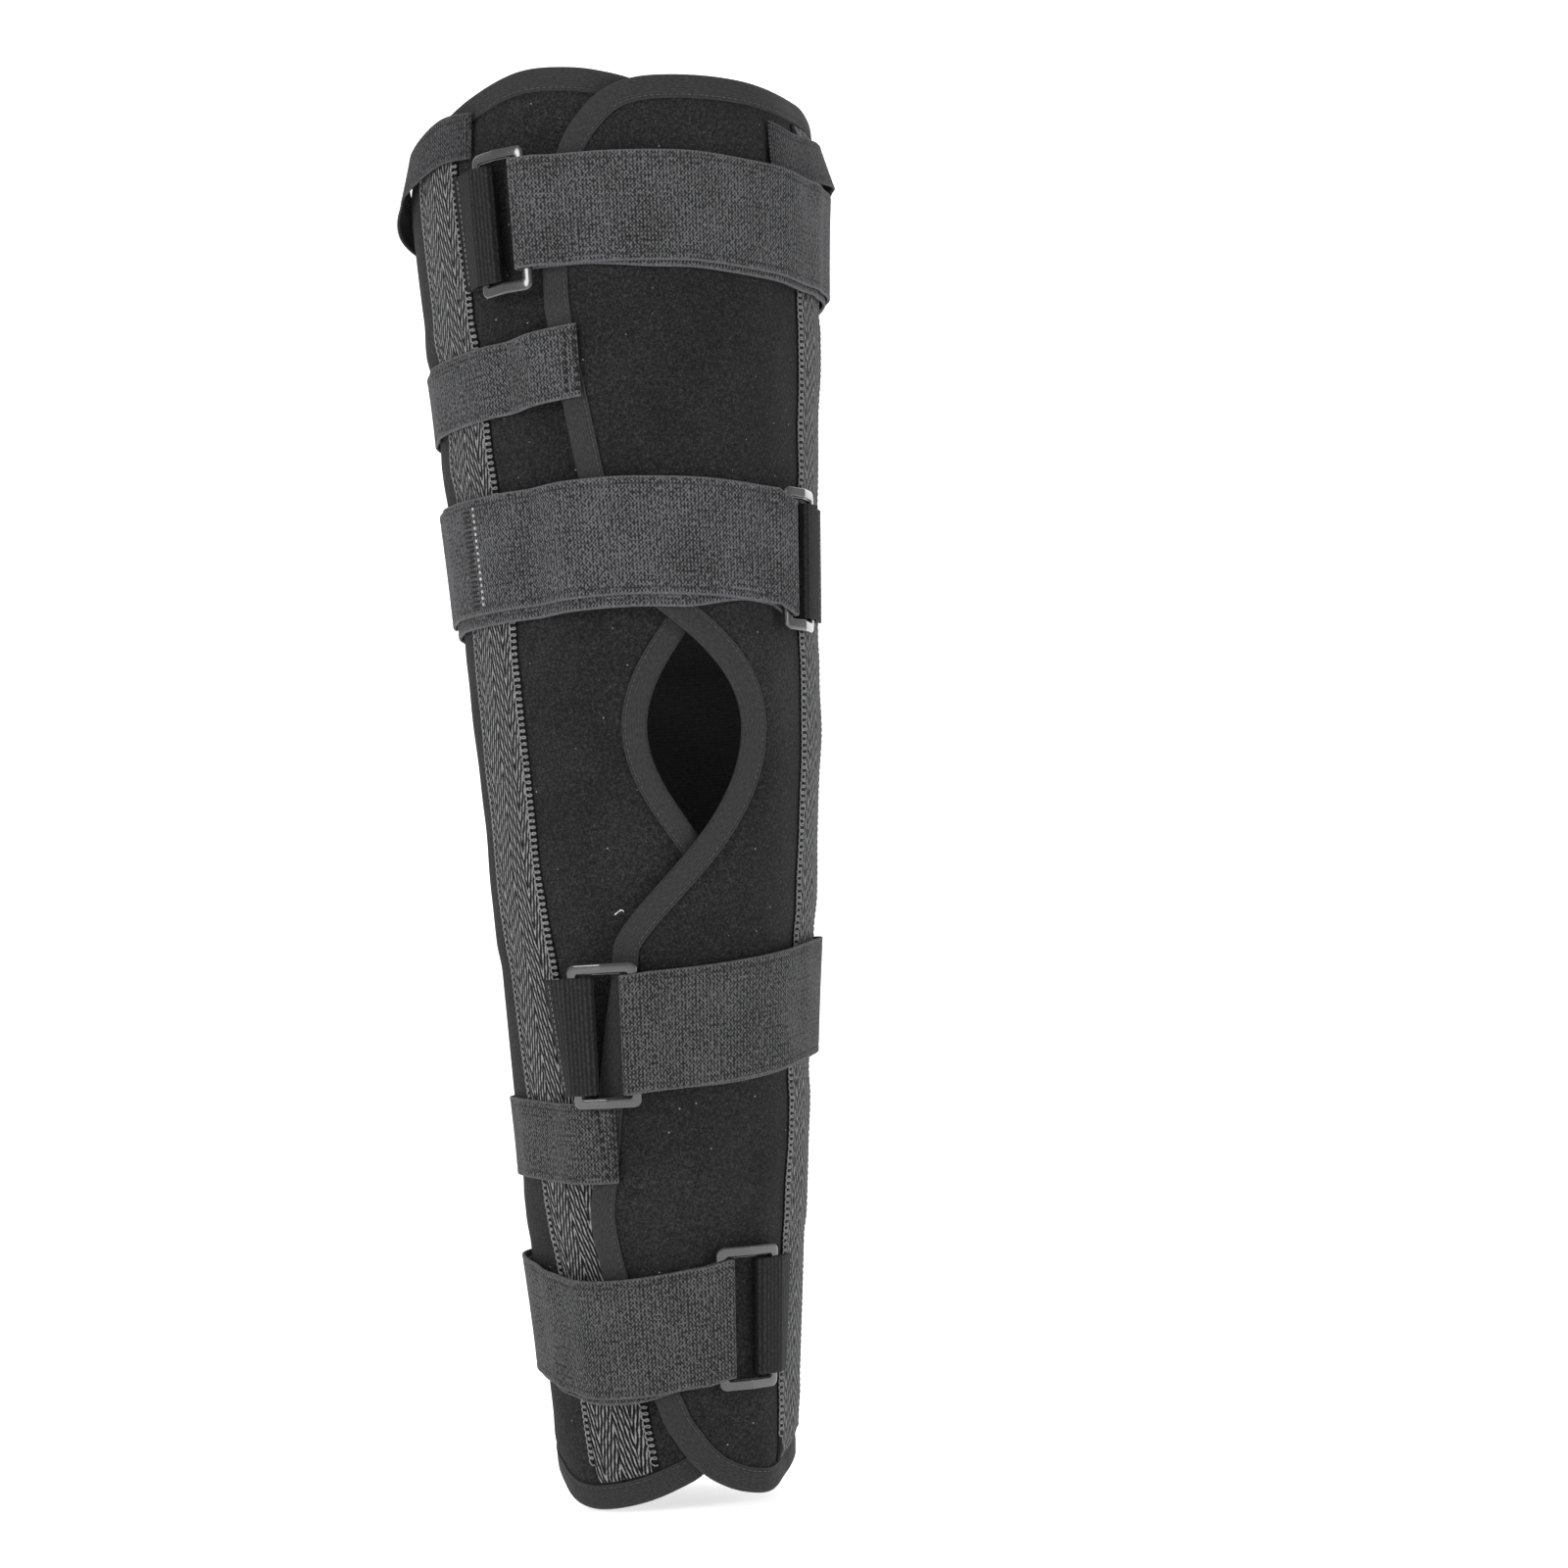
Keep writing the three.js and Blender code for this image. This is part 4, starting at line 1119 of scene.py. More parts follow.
@dataclass(frozen=True)
class RibbedWebbing:
    """Black nylon webbing with raised ribs across it; painted shade darkens the grooves and a painted
    highlight lightens the crests.
    """

    name: str = "ribbed_nylon_webbing"
    # groove is painted shade in the grooves; crest_highlight is a painted highlight on the ribs' tops
    groove: str = "08080a"
    middle: str = "151516"
    crest_highlight: str = "29292b"
    rib_mm: float = 1.9
    relief_mm: float = 0.35

    def build(self) -> bpy.types.Material:
        """Makes ribs as a sine along the webbing, uneven by noise.

        Returns:
            The material.
        """
        g = Graph(self.name)
        place = g.millimetres(on_cloth=True)
        along = g.add("SeparateXYZ", place, output=1)
        noise = g.add("TexNoise", Vector=place, Scale=0.7, Detail=3.0)
        turn = g.add("Math", along, 2 * math.pi / self.rib_mm, noise, operation="MULTIPLY_ADD")
        rib = g.add("Math", turn, operation="SINE")
        height = g.add("Math", rib, 0.22, noise, operation="MULTIPLY_ADD")
        # The colour follows the ribs' height: painted shade low, painted highlight high
        stops = ((0.25, self.groove), (0.5, self.middle), (0.85, self.crest_highlight))
        colour = g.add("ValToRGB", height, stops=stops)
        return g.dress(colour, height, self.relief_mm, Roughness=0.72, Specular_IOR_Level=0.2)


@dataclass(frozen=True)
class BrushedLining:
    """The wrap's inner face: a smooth brushed tricot against the leg, softer and a little lighter."""

    name: str = "brushed_tricot_lining"
    dark: str = "363637"
    light: str = "4a4a4b"
    course_mm: float = 1.5
    relief_mm: float = 0.15

    def build(self) -> bpy.types.Material:
        """Makes fine courses round the leg, a sine of the height, under a soft noise.

        Returns:
            The material.
        """
        g = Graph(self.name)
        place = g.millimetres(on_cloth=True)
        up = g.add("SeparateXYZ", place, output=1)
        turn = g.add("Math", up, 2 * math.pi / self.course_mm, operation="MULTIPLY")
        course = g.add("Math", turn, operation="SINE")
        noise = g.add("TexNoise", Vector=place, Scale=0.6, Detail=4.0, Roughness=0.7)
        height = g.add("Math", course, 0.07, noise, operation="MULTIPLY_ADD")
        colour = g.add("ValToRGB", height, stops=((0.3, self.dark), (0.7, self.light)))
        return g.dress(colour, height, self.relief_mm, Roughness=0.92, Specular_IOR_Level=0.15)


@dataclass(frozen=True)
class MouldedNylon:
    """Injection-moulded nylon: dark grey with a satin gloss and the faint orange peel of the mould."""

    name: str = "moulded_satin_nylon"
    dark: str = "1c1c1e"
    light: str = "262628"
    peel_mm: float = 1.4
    relief_mm: float = 0.03

    def build(self) -> bpy.types.Material:
        """Makes soft noise for the orange peel and for a slight change of tone.

        Returns:
            The material.
        """
        g = Graph(self.name)
        noise = g.add("TexNoise", Vector=g.millimetres(on_cloth=False), Scale=1 / self.peel_mm, Detail=2.0)
        colour = g.add("ValToRGB", noise, stops=((0.3, self.dark), (0.7, self.light)))
        return g.dress(
            colour, noise, self.relief_mm, Roughness=0.24, IOR=1.53, Coat_Weight=1.0, Coat_Roughness=0.14
        )


@dataclass(frozen=True)
class SewingThread:
    """Spun polyester sewing thread: matt, a little uneven where its plies turn."""

    name: str
    dark: str
    light: str
    ply_mm: float = 0.7
    relief_mm: float = 0.05

    def build(self) -> bpy.types.Material:
        """Mixes two tones by noise a ply long.

        Returns:
            The material.
        """
        g = Graph(self.name)
        noise = g.add("TexNoise", Vector=g.millimetres(on_cloth=False), Scale=1 / self.ply_mm, Detail=1.0)
        colour = g.add("ValToRGB", noise, stops=((0.35, self.dark), (0.65, self.light)))
        return g.dress(colour, noise, self.relief_mm, Roughness=0.7, Specular_IOR_Level=0.3)


class Finishes:
    """Every material of the object, made once."""

    # The elastic's tones by width, where they differ from the class's own: the narrow band is much darker,
    # which is painted shade for the band that lies turned from the light; the lower tab and the two
    # lower straps are a little darker, and the 49 mm strap above the knee a little lighter
    ELASTIC_TONES_AND_SHADE = {
        # Painted shade: the band's 20 mm tones are darkened for the shade it lies in
        20.0: ("161617", "2a2a2b", "454547"),
        34.0: ("171718", "303031", "525253"),
        49.0: ("19191a", "363637", "59595b"),
        50.0: ("171718", "313132", "535354"),
    }

    def __init__(self) -> None:
        """Makes the materials that don't depend on a piece's width."""
        self.laminate = BrushedLaminate().build()
        self.lining = BrushedLining().build()
        self.binding = KnitBinding().build()
        self.tape = HerringboneTape().build()
        self.webbing = RibbedWebbing().build()
        self.nylon = MouldedNylon().build()
        self.grey_thread = SewingThread("grey_polyester_thread", "565657", "868687").build()
        self.binding_thread = SewingThread("charcoal_polyester_thread", "343435", "4e4e4f").build()
        self.black_thread = SewingThread("black_polyester_thread", "060607", "111112").build()
        self.white_thread = SewingThread("white_polyester_thread", "8e8e8e", "c4c4c4").build()
        self.elastics: dict[float, bpy.types.Material] = {}

    def elastic(self, width: float) -> bpy.types.Material:
        """The woven elastic of one width, made the first time it is asked for.

        Args:
            width: The strip's width in millimetres.

        Returns:
            The material.
        """
        if width not in self.elastics:
            tones = self.ELASTIC_TONES_AND_SHADE.get(width, ())
            self.elastics[width] = WovenElastic(f"woven_elastic_{width:.0f}_mm", width, *tones).build()
        return self.elastics[width]


# The wrap


class Wrap:
    """The padded wrap: three laminate panels and the folded tape that binds their outline."""

    STEP = 1.6
    SEAM_GAP = 1.0
    UNDER_TAPE = 3.0
    ROWS = 230
    COLUMNS = {"right": 44, "back": 104, "left": 36}
    STITCH_LINE = 9.0
    FOLD = 2.6
    PINCH = 0.8
    SWELL = 0.3
    STITCHES = Stitching(2.7, 2.0, 0.2, 0.25)
    ACROSS_TAPE = (3.6, 5, 6.4, 7.4, 8.2, 8.6, 9.0, 9.4, 9.8, 10.2)

    def __init__(self, layers: Layers, finishes: Finishes) -> None:
        """Works out the outline and its eight edges.

        Args:
            layers: What lies on the leg.
            finishes: The materials.
        """
        self.layers, self.leg, self.sizes, self.finishes = layers, layers.leg, layers.sizes, finishes
        self.seams = {"right": layers.right_pocket, "left": lambda z: layers.left_pocket(z) + TURN}
        self.outline, self.corners = self._outline()

    def _seam_end(self, seam: Line, edge: Line, start: float) -> float:
        """The angle where a seam meets an edge, found by turns of z = edge(seam(z)).

        Args:
            seam: The seam's angle against the height.
            edge: The edge's height against the angle.
            start: The height to start from.

        Returns:
            The angle.
        """
        z = np.float64(start)
        for _ in range(8):
            z = edge(seam(z))
        return float(seam(z))

    def _outline(self) -> tuple[np.ndarray, np.ndarray]:
        """The outline as [angle, z] at even steps, and the place of its eight corners among them.

        Returns:
            The points, and the indices of the corners.
        """
        layers = self.layers
        fine = 400

        def along(edge: Line, first: float, last: float) -> np.ndarray:
            """An edge between two angles."""
            angles = np.linspace(first, last, fine)
            return np.stack([angles, edge(angles)], axis=-1)

        def front(line: Line, rows: Sequence[Sequence[float]]) -> np.ndarray:
            """A front edge from its lowest place to its highest."""
            z = np.linspace(float(height_of(rows[0][0])), float(height_of(rows[-1][0])), 3 * fine)
            return np.stack([line(z), z], axis=-1)

        seams = [self.seams[k] for k in ("right", "left")]
        top = [self._seam_end(seam, layers.top_edge, self.sizes.above_knee) for seam in seams]
        low = [self._seam_end(seam, layers.hem, -self.sizes.below_knee) for seam in seams]
        runs = [
            front(layers.right_front, RIGHT_FRONT),
            along(layers.top_edge, TOP_EDGE[0][0], top[0]),
            along(layers.top_edge, top[0], top[1]),
            along(layers.top_edge, top[1], TOP_EDGE[-1][0]),
            front(layers.left_front, LEFT_FRONT)[::-1],
            along(layers.hem, HEM[-1][0], low[1]),
            along(layers.hem, low[1], low[0]),
            along(layers.hem, low[0], HEM[0][0]),
        ]
        points = np.concatenate([run[:-1] for run in runs])
        closed = np.concatenate([points, points[:1]])
        rates = self.leg.rate(closed[:, 0], closed[:, 1])
        steps = np.hypot(np.diff(closed[:, 0]) * rates[:-1], np.diff(closed[:, 1]))
        far = np.concatenate([[0], np.cumsum(steps)])
        count = int(round(far[-1] / self.STEP))
        at = np.arange(count) * far[-1] / count
        even = np.stack([np.interp(at, far, closed[:, k]) for k in range(2)], axis=-1)
        ends = np.concatenate([[0], np.cumsum([len(run) - 1 for run in runs])])
        return smoothed(even, 3, closed=True), np.round(far[ends] / far[-1] * count).astype(int)

    def inset(self, distance: float | np.ndarray) -> np.ndarray:
        """The outline moved in by a distance, square to the line between each point's neighbours.

        Args:
            distance: How far in, in millimetres.

        Returns:
            Its [angle, z] points.
        """
        angle, z = self.outline[:, 0], self.outline[:, 1]
        rate = self.leg.rate(angle, z)
        run = (np.roll(angle, -1) - np.roll(angle, 1)) * rate
        rise = np.roll(z, -1) - np.roll(z, 1)
        length = np.hypot(run, rise)
        return np.stack([angle + rise / length * distance / rate, z - run / length * distance], axis=-1)

    def _edge(self, ring: np.ndarray, which: int, count: int, turned: bool = False) -> np.ndarray:
        """One of the eight edges of a ring with a set number of points.

        Args:
            ring: A ring of points with the outline's stations.
            which: The edge's number.
            count: How many points to give it.
            turned: True to run it the other way.

        Returns:
            The edge's points.
        """
        first, last = self.corners[which], self.corners[which + 1]
        at = np.linspace(first, last, count)
        numbers = np.arange(first, last + 1)
        part = ring[numbers % len(ring)]
        found = np.stack([np.interp(at, numbers, part[:, k]) for k in range(2)], axis=-1)
        return found[::-1] if turned else found

    def _seam(self, seam: Line, low: np.ndarray, high: np.ndarray, side: int) -> np.ndarray:
        """A seam from the hem to the top edge, set aside by half the gap.

        Args:
            seam: The seam's angle against the height.
            low: Its lower end.
            high: Its upper end.
            side: -1 or 1, the side to set it aside to.

        Returns:
            Its [angle, z] points.
        """
        t = np.linspace(0, 1, self.ROWS)
        z = low[1] + (high[1] - low[1]) * t
        on_line = seam(z)
        ends = (low[0] - seam(low[1])) * (1 - t) + (high[0] - seam(high[1])) * t
        return np.stack([on_line + ends + side * self.SEAM_GAP / 2 / self.leg.rate(on_line, z), z], axis=-1)

    def _panel_grid(self, name: str) -> np.ndarray:
        """A panel's [angle, z] grid between its four edges.

        It is the mean across and the mean up, added, less the mean of the four corners.

        Args:
            name: "right", "back" or "left".

        Returns:
            The grid.
        """
        ring = self.inset(self.UNDER_TAPE)
        columns = self.COLUMNS[name]
        number = {"right": (7, 1), "back": (6, 2), "left": (5, 3)}[name]
        bottom = self._edge(ring, number[0], columns, turned=True)
        top = self._edge(ring, number[1], columns)
        if name == "right":
            start = self._edge(ring, 0, self.ROWS)
        else:
            start = self._seam(self.seams["right" if name == "back" else "left"], bottom[0], top[0], 1)
        if name == "left":
            end = self._edge(ring, 4, self.ROWS, turned=True)
        else:
            end = self._seam(self.seams["right" if name == "right" else "left"], bottom[-1], top[-1], -1)
        bottom, top = bottom.copy(), top.copy()
        bottom[0], bottom[-1], top[0], top[-1] = start[0], end[0], start[-1], end[-1]
        t = np.linspace(0, 1, self.ROWS)[:, None, None]
        s = np.linspace(0, 1, columns)[None, :, None]
        across = start[:, None] * (1 - s) + end[:, None] * s
        up = bottom[None] * (1 - t) + top[None] * t
        corners = (bottom[0] * (1 - s) + bottom[-1] * s) * (1 - t) + (top[0] * (1 - s) + top[-1] * s) * t
        return across + up - corners

    def _from_outline(self, grid: np.ndarray) -> np.ndarray:
        """The distance of each grid point from the outline, in millimetres on the cloth.

        Args:
            grid: Points as [angle, z].

        Returns:
            The distances.
        """
        rate = self.leg.rate(grid[..., 0], grid[..., 1])
        nearest = np.full(grid.shape[:2], np.inf)
        for chunk in np.array_split(self.outline, 30):
            run = (grid[..., 0, None] - chunk[:, 0]) * rate[..., None]
            rise = grid[..., 1, None] - chunk[:, 1]
            nearest = np.minimum(nearest, np.hypot(run, rise).min(axis=-1))
        return nearest

    def panel(self, name: str) -> None:
        """One padded panel.

        Its outer face is pinched under the binding, then swells beside it: the sink falls off with the
        exponent of the distance from the tape over 2.5 mm, and a low swell lies 7 mm further in.

        Args:
            name: "right", "back" or "left".
        """
        grid = self._panel_grid(name)
        angle, z = grid[..., 0], grid[..., 1]
        beyond = self._from_outline(grid) - self.sizes.binding_width
        near = np.exp(-np.maximum(beyond, 0) / 2.5)
        sink = self.PINCH * near - self.SWELL * np.exp(-(((beyond - 7) / 5) ** 2))
        face = self.layers.lift(angle) + self.layers.softness(angle, z)
        outer = self.leg.point(angle, z, face + self.sizes.wall - sink)
        inner = self.leg.point(angle, z, face + 0.3 * near)
        cloth = np.stack([angle * float(self.leg.rate(90.0, 0.0)), z], axis=-1)
        piece = shell_piece(
            f"{name}_panel_cloth",
            Surface(outer, inner, cloth),
            [self.finishes.laminate, self.finishes.lining],
            (f"{name}_panel", "brushed_loop_fabric"),
        )

    def _tape_out(self, inward: np.ndarray, angle: np.ndarray, z: np.ndarray, face: np.ndarray) -> np.ndarray:
        """The out of the binding's face: a rounded fold, a flat tape, and a groove on the stitch line.

        The half thickness rises from nothing at the fold as a quarter of an ellipse.

        Args:
            inward: Distance from the fold.
            angle: Degrees round the leg.
            z: Heights.
            face: 1 for the outer face and -1 for the inner one.

        Returns:
            The outs.
        """
        share = np.clip(1 - inward / self.FOLD, 0, 1)
        half = (self.sizes.wall / 2 + self.sizes.binding_proud) * np.sqrt(1 - share * share)
        groove = 0.35 * np.exp(-(((inward - self.STITCH_LINE) / 0.7) ** 2))
        middle = self.sizes.wall / 2 + self.layers.lift(angle) + self.layers.softness(angle, z)
        pucker = 0.16 * wave(angle / 5, z / 17, 21) * np.clip(inward / 6, 0, 1)
        return middle + face * (half - groove + pucker)

    def binding(self) -> None:
        """The binding tape, swept round the outline, and its two rows of stitches."""
        width = self.sizes.binding_width
        rounds = 0.5 - 0.5 * np.cos(np.linspace(0, np.pi / 2, 7))
        inward = np.concatenate([2 * self.FOLD * rounds, self.ACROSS_TAPE, [width]])
        inward = np.unique(np.clip(inward, 0, width))
        steps = np.concatenate([inward[::-1], inward[1:]])
        face = np.concatenate([np.ones(len(inward)), -np.ones(len(inward) - 1)])
        rings = [self.inset(d) for d in steps]
        angle, z = (np.stack([ring[:, k] for ring in rings], axis=1) for k in (0, 1))
        points = self.leg.point(angle, z, self._tape_out(steps[None, :], angle, z, face[None, :]))
        rows, columns = points.shape[:2]
        faces, loose = grid_faces(rows, columns, ring_rows=True, ring_columns=True)
        across = np.concatenate([face * steps, [face[0] * steps[0]]])
        along = np.arange(rows + 1) * self.STEP
        cloth = np.stack(np.broadcast_arrays(across[None, :], along[:, None]), axis=-1).reshape(-1, 2)[loose]
        tape = mesh_piece(
            "edge_binding_tape", points.reshape(-1, 3), faces, [self.finishes.binding], cloth,
            stands_for=("edge_binding", "edge_binding_tape"),
        )
        angle, z = self.inset(self.STITCH_LINE).T
        for side, label in ((1.0, "outer"), (-1.0, "inner")):
            out = self._tape_out(np.float64(self.STITCH_LINE), angle, z, np.float64(side))
            track = self.leg.point(angle, z, out)
            line = (track, self.leg.point(angle, z, out + side) - track)
            self.STITCHES.sew(f"binding_stitches_{label}", line, self.finishes.binding_thread)

    def build(self) -> None:
        """Makes the three panels and the binding."""
        for name in ("right", "back", "left"):
            self.panel(name)
        self.binding()


class StayPocket:
    """A herringbone tape sewn over a panel seam, with a stay inside and a chain stitch on each edge."""

    ROWS = 260
    DRAWN_DOWN = 0.75
    SUNK = 0.5
    CHAIN_INSET = 1.7
    CHAIN_PITCH = 2.7
    CHAIN_LOOP = (1.4, 1.05)
    CHAIN_RADIUS = 0.36

    def __init__(self, name: str, middle: Line, turn: float, wrap: Wrap) -> None:
        """Keeps the pocket's line.

        Args:
            name: The CAD node's name.
            middle: The angle of its middle line against the height.
            turn: 360 where the wrap's own angle there is a turn further on, otherwise 0.
            wrap: The wrap it is sewn to.
        """
        self.name, self.middle, self.turn, self.wrap = name, middle, turn, wrap
        self.layers, self.leg, self.sizes = wrap.layers, wrap.leg, wrap.sizes

    def _ends(self, share: np.ndarray) -> tuple[np.ndarray, np.ndarray]:
        """The heights of a column's two ends, just inside the binding.

        Args:
            share: Places across the tape, from -0.5 to 0.5.

        Returns:
            The lower and the upper heights.
        """
        margin = self.sizes.binding_width + 3 * self.sizes.clearance
        ends = []
        for edge, start, side in (
            (self.layers.hem, -self.sizes.below_knee, 1), (self.layers.top_edge, self.sizes.above_knee, -1),
        ):
            z = np.full(share.shape, start)
            for _ in range(8):
                z = edge(self._angle(share, z) + self.turn)
            ends.append(z + side * margin)
        return ends[0], ends[1]

    def _angle(self, share: np.ndarray, z: np.ndarray) -> np.ndarray:
        """The angle at a share of the tape's width from its middle."""
        return self.middle(z) + share * self.sizes.pocket_width / self.leg.rate(self.middle(z), z)

    def _out(self, share: np.ndarray, angle: np.ndarray, z: np.ndarray, from_end: np.ndarray) -> np.ndarray:
        """The out of the tape's face: drawn down at its edges and ends, and crowned over the stay.

        Args:
            share: Places across the tape, from -0.5 to 0.5.
            angle: Degrees round the leg.
            z: Heights.
            from_end: Distances from the nearer end.

        Returns:
            The outs.
        """
        s = self.sizes
        from_edge = s.pocket_width * (0.5 - np.abs(share))
        height = self.DRAWN_DOWN + 0.65 * ease(0, 3.6, from_edge) + s.pocket_crown * (1 - 4 * share * share)
        height = height * (0.35 + 0.65 * ease(0, 3, from_end))
        soft = self.layers.softness(angle + self.turn, z)
        return self.layers.lift(angle + self.turn) + s.wall + height + soft

    def build(self) -> None:
        """Makes the tape and its chain stitches."""
        share = np.linspace(-0.5, 0.5, 17)[None, :]
        low, high = self._ends(share)
        t = np.linspace(0, 1, self.ROWS)[:, None]
        z = low + (high - low) * t
        angle = self._angle(share, z)
        from_end = np.minimum(t, 1 - t) * (high - low)
        out = self._out(share, angle, z, from_end)
        outer = self.leg.point(angle, z, out)
        sunk = self.layers.lift(angle + self.turn) + self.sizes.wall - self.SUNK
        inner = self.leg.point(angle, z, np.minimum(sunk, out - self.SUNK))
        cloth = np.stack(np.broadcast_arrays(share * self.sizes.pocket_width, z), axis=-1)
        tape = shell_piece(
            f"{self.name}_tape",
            Surface(outer, inner, cloth),
            [self.wrap.finishes.tape],
            (self.name, "herringbone_tape"),
        )
        for side, label in ((-1, "outer"), (1, "inner")):
            self._chain(side, label, float(low.max()) + 2, float(high.min()) - 2)

    def _chain(self, side: int, label: str, low: float, high: float) -> None:
        """A chain stitch up one edge: a point that circles while it climbs, so that it lays loops.

        Across the tape it is 1.4 mm times the cosine of the turn, and along it the climb less
        1.05 mm times the sine.

        Args:
            side: -1 for the edge at the smaller angle and 1 for the other.
            label: What its name ends with.
            low: Where it starts.
            high: Where it ends.
        """
        across, along = self.CHAIN_LOOP
        count = int((high - low) / self.CHAIN_PITCH)
        turn = np.linspace(0, 2 * np.pi * count, 14 * count)
        z = low + self.CHAIN_PITCH * turn / (2 * np.pi) - along * np.sin(turn)
        offset = side * (self.sizes.pocket_width / 2 - self.CHAIN_INSET) + across * np.cos(turn)
        share = offset / self.sizes.pocket_width
        angle = self._angle(share, z)
        out = self._out(share, angle, z, np.full(z.shape, 5.0)) + 0.12 + 0.12 * np.cos(2 * turn)
        path = self.leg.point(angle, z, out)
        normal = self.leg.point(angle, z, out + 1) - path
        thread = self.wrap.finishes.grey_thread
        thread_piece(f"{self.name}_chain_{label}", path[None], normal[None], self.CHAIN_RADIUS, thread)


# Straps, tabs and webbing


@dataclass
class Path:
    """A strip's middle line: angle, out and height at each station, with shear and flare in addition."""

    angle: np.ndarray
    out: np.ndarray
    z: np.ndarray
    shear: np.ndarray | float = 0.0
    flare: np.ndarray | float = 0.0


@dataclass(frozen=True)
class Strip:
    """A flat strip of cloth that is taut along a path and straight across it.

    ripple is how far its edges may stand off, in millimetres.
    """

    width: float
    thickness: float
    edge_round: float = 0.7
    ripple: float = 0.35

    SEWN_LINE = 3.2
    NEAR_EDGE = (0, 0.12, 0.35, 0.7, 1.5, 2.4, 2.9, SEWN_LINE, 3.5, 4.2)

    def shares(self) -> np.ndarray:
        """Places across the strip, closer together at its edges.

        Returns:
            Shares of the width, from -0.5 to 0.5.
        """
        half = self.width / 2
        left = np.concatenate([self.NEAR_EDGE, np.linspace(5.5, half, 6)])
        return np.concatenate([left - half, (half - left[:-1])[::-1]]) / self.width

    def surface(self, leg: LegForm, path: Path, calm: np.ndarray | float = 1.0) -> Surface:
        """Carries the strip's section along the path.

        Each face's two edges are leg points moved half the thickness square to the path; the points
        between them are on the straight line from edge to edge. The half thickness falls off at the
        edges as a quarter circle, with a shallow groove on each sewn line.

        Args:
            leg: The leg's form.
            path: The middle line.
            calm: How much of the ripple each station has.

        Returns:
            The strip's outer and inner grids.
        """
        share = self.shares()
        rate = leg.rate(path.angle, path.z, path.out)
        run, rise = np.gradient(path.angle) * rate, np.gradient(path.out)
        length = np.maximum(np.hypot(run, rise), 1e-6)
        faces = []
        for face in (1, -1):
            shift = face * self.thickness / 2
            edges = []
            for side in (-0.5, 0.5):
                edges.append(
                    leg.point(
                        path.angle - shift * rise / length / rate + path.shear * 2 * side,
                        path.z + side * self.width,
                        path.out + shift * run / length + (path.flare if side < 0 else 0.0),
                    )
                )
            faces.append(edges)
        low = (faces[0][0] + faces[1][0]) / 2
        high = (faces[0][1] + faces[1][1]) / 2
        half_low, half_high = (faces[0][0] - faces[1][0]) / 2, (faces[0][1] - faces[1][1]) / 2
        mixed = share[None, :, None] + 0.5
        middle = low[:, None] * (1 - mixed) + high[:, None] * mixed
        half = half_low[:, None] * (1 - mixed) + half_high[:, None] * mixed
        from_edge = self.width * (0.5 - np.abs(share))
        falling = np.clip(1 - from_edge / self.edge_round, 0, 1)
        thin = np.maximum(np.sqrt(1 - falling * falling), 0.18)
        thin = thin - 0.16 * np.exp(-(((from_edge - self.SEWN_LINE) / 0.5) ** 2))
        outwards = half / np.linalg.norm(half, axis=-1, keepdims=True)
        away = leg.point(path.angle, path.z, path.out + 1) - leg.point(path.angle, path.z, path.out)
        facing = np.sign((outwards * away[:, None]).sum(axis=-1, keepdims=True))
        height = path.z[:, None] + share * self.width
        ripple = self.ripple * (0.5 + 0.5 * wave(path.angle[:, None] / 22, height / 40, 5))
        ripple = ripple * (4 * share * share) * np.broadcast_to(calm, path.angle.shape)[:, None]
        middle = middle + outwards * facing * ripple[..., None]
        steps = np.linalg.norm(np.diff((low + high) / 2, axis=0), axis=1)
        along = np.concatenate([[0], np.cumsum(steps)])
        cloth = np.stack(np.broadcast_arrays(share[None, :] * self.width, along[:, None]), axis=-1)
        return Surface(middle + half * thin[None, :, None], middle - half * thin[None, :, None], cloth)

    def make(
        self,
        node: str,
        surface: Surface,
        finish: tuple[bpy.types.Material, str],
        rests_on: Sequence[str],
        held: str = "stretched",
    ) -> None:
        """Makes the strip's cloth in a CAD node's place, as a sheet of its own width and length.

        Args:
            node: The CAD node's name.
            surface: The strip's grids.
            finish: Its material, and its slot, whose last word ends the piece's name.
            rests_on: The pieces that it lies on; not used.
            held: How it is held; not used.
        """
        material, slot = finish
        piece = shell_piece(f"{node}_{slot.split('_')[-1]}", surface, [material], (node, slot))
        length = float(surface.cloth[-1, 0, 1])
        LOG.info("%s: cut %.0f x %.0f mm", piece.name, self.width, length)


def visible_face(surface: Surface, rows: np.ndarray) -> tuple[np.ndarray, np.ndarray]:
    """The face that looks away from the leg on some rows of a strip, and its directions.

    A strip that has turned back over itself shows its inner grid, so the grid that lies further from
    the leg's axis is taken.

    Args:
        surface: The strip.
        rows: Row numbers.

    Returns:
        Points (rows, columns, 3) and a direction for each row, (rows, 3).
    """
    outer, inner = surface.outer[rows], surface.inner[rows]
    middle = outer.shape[1] // 2
    gap = outer[:, middle] - inner[:, middle]
    further = (gap[:, :2] * outer[:, middle, :2]).sum(axis=-1) > 0
    normal = np.where(further[:, None], gap, -gap)
    normal = normal / np.linalg.norm(normal, axis=-1, keepdims=True)
    return np.where(further[:, None, None], outer, inner), normal


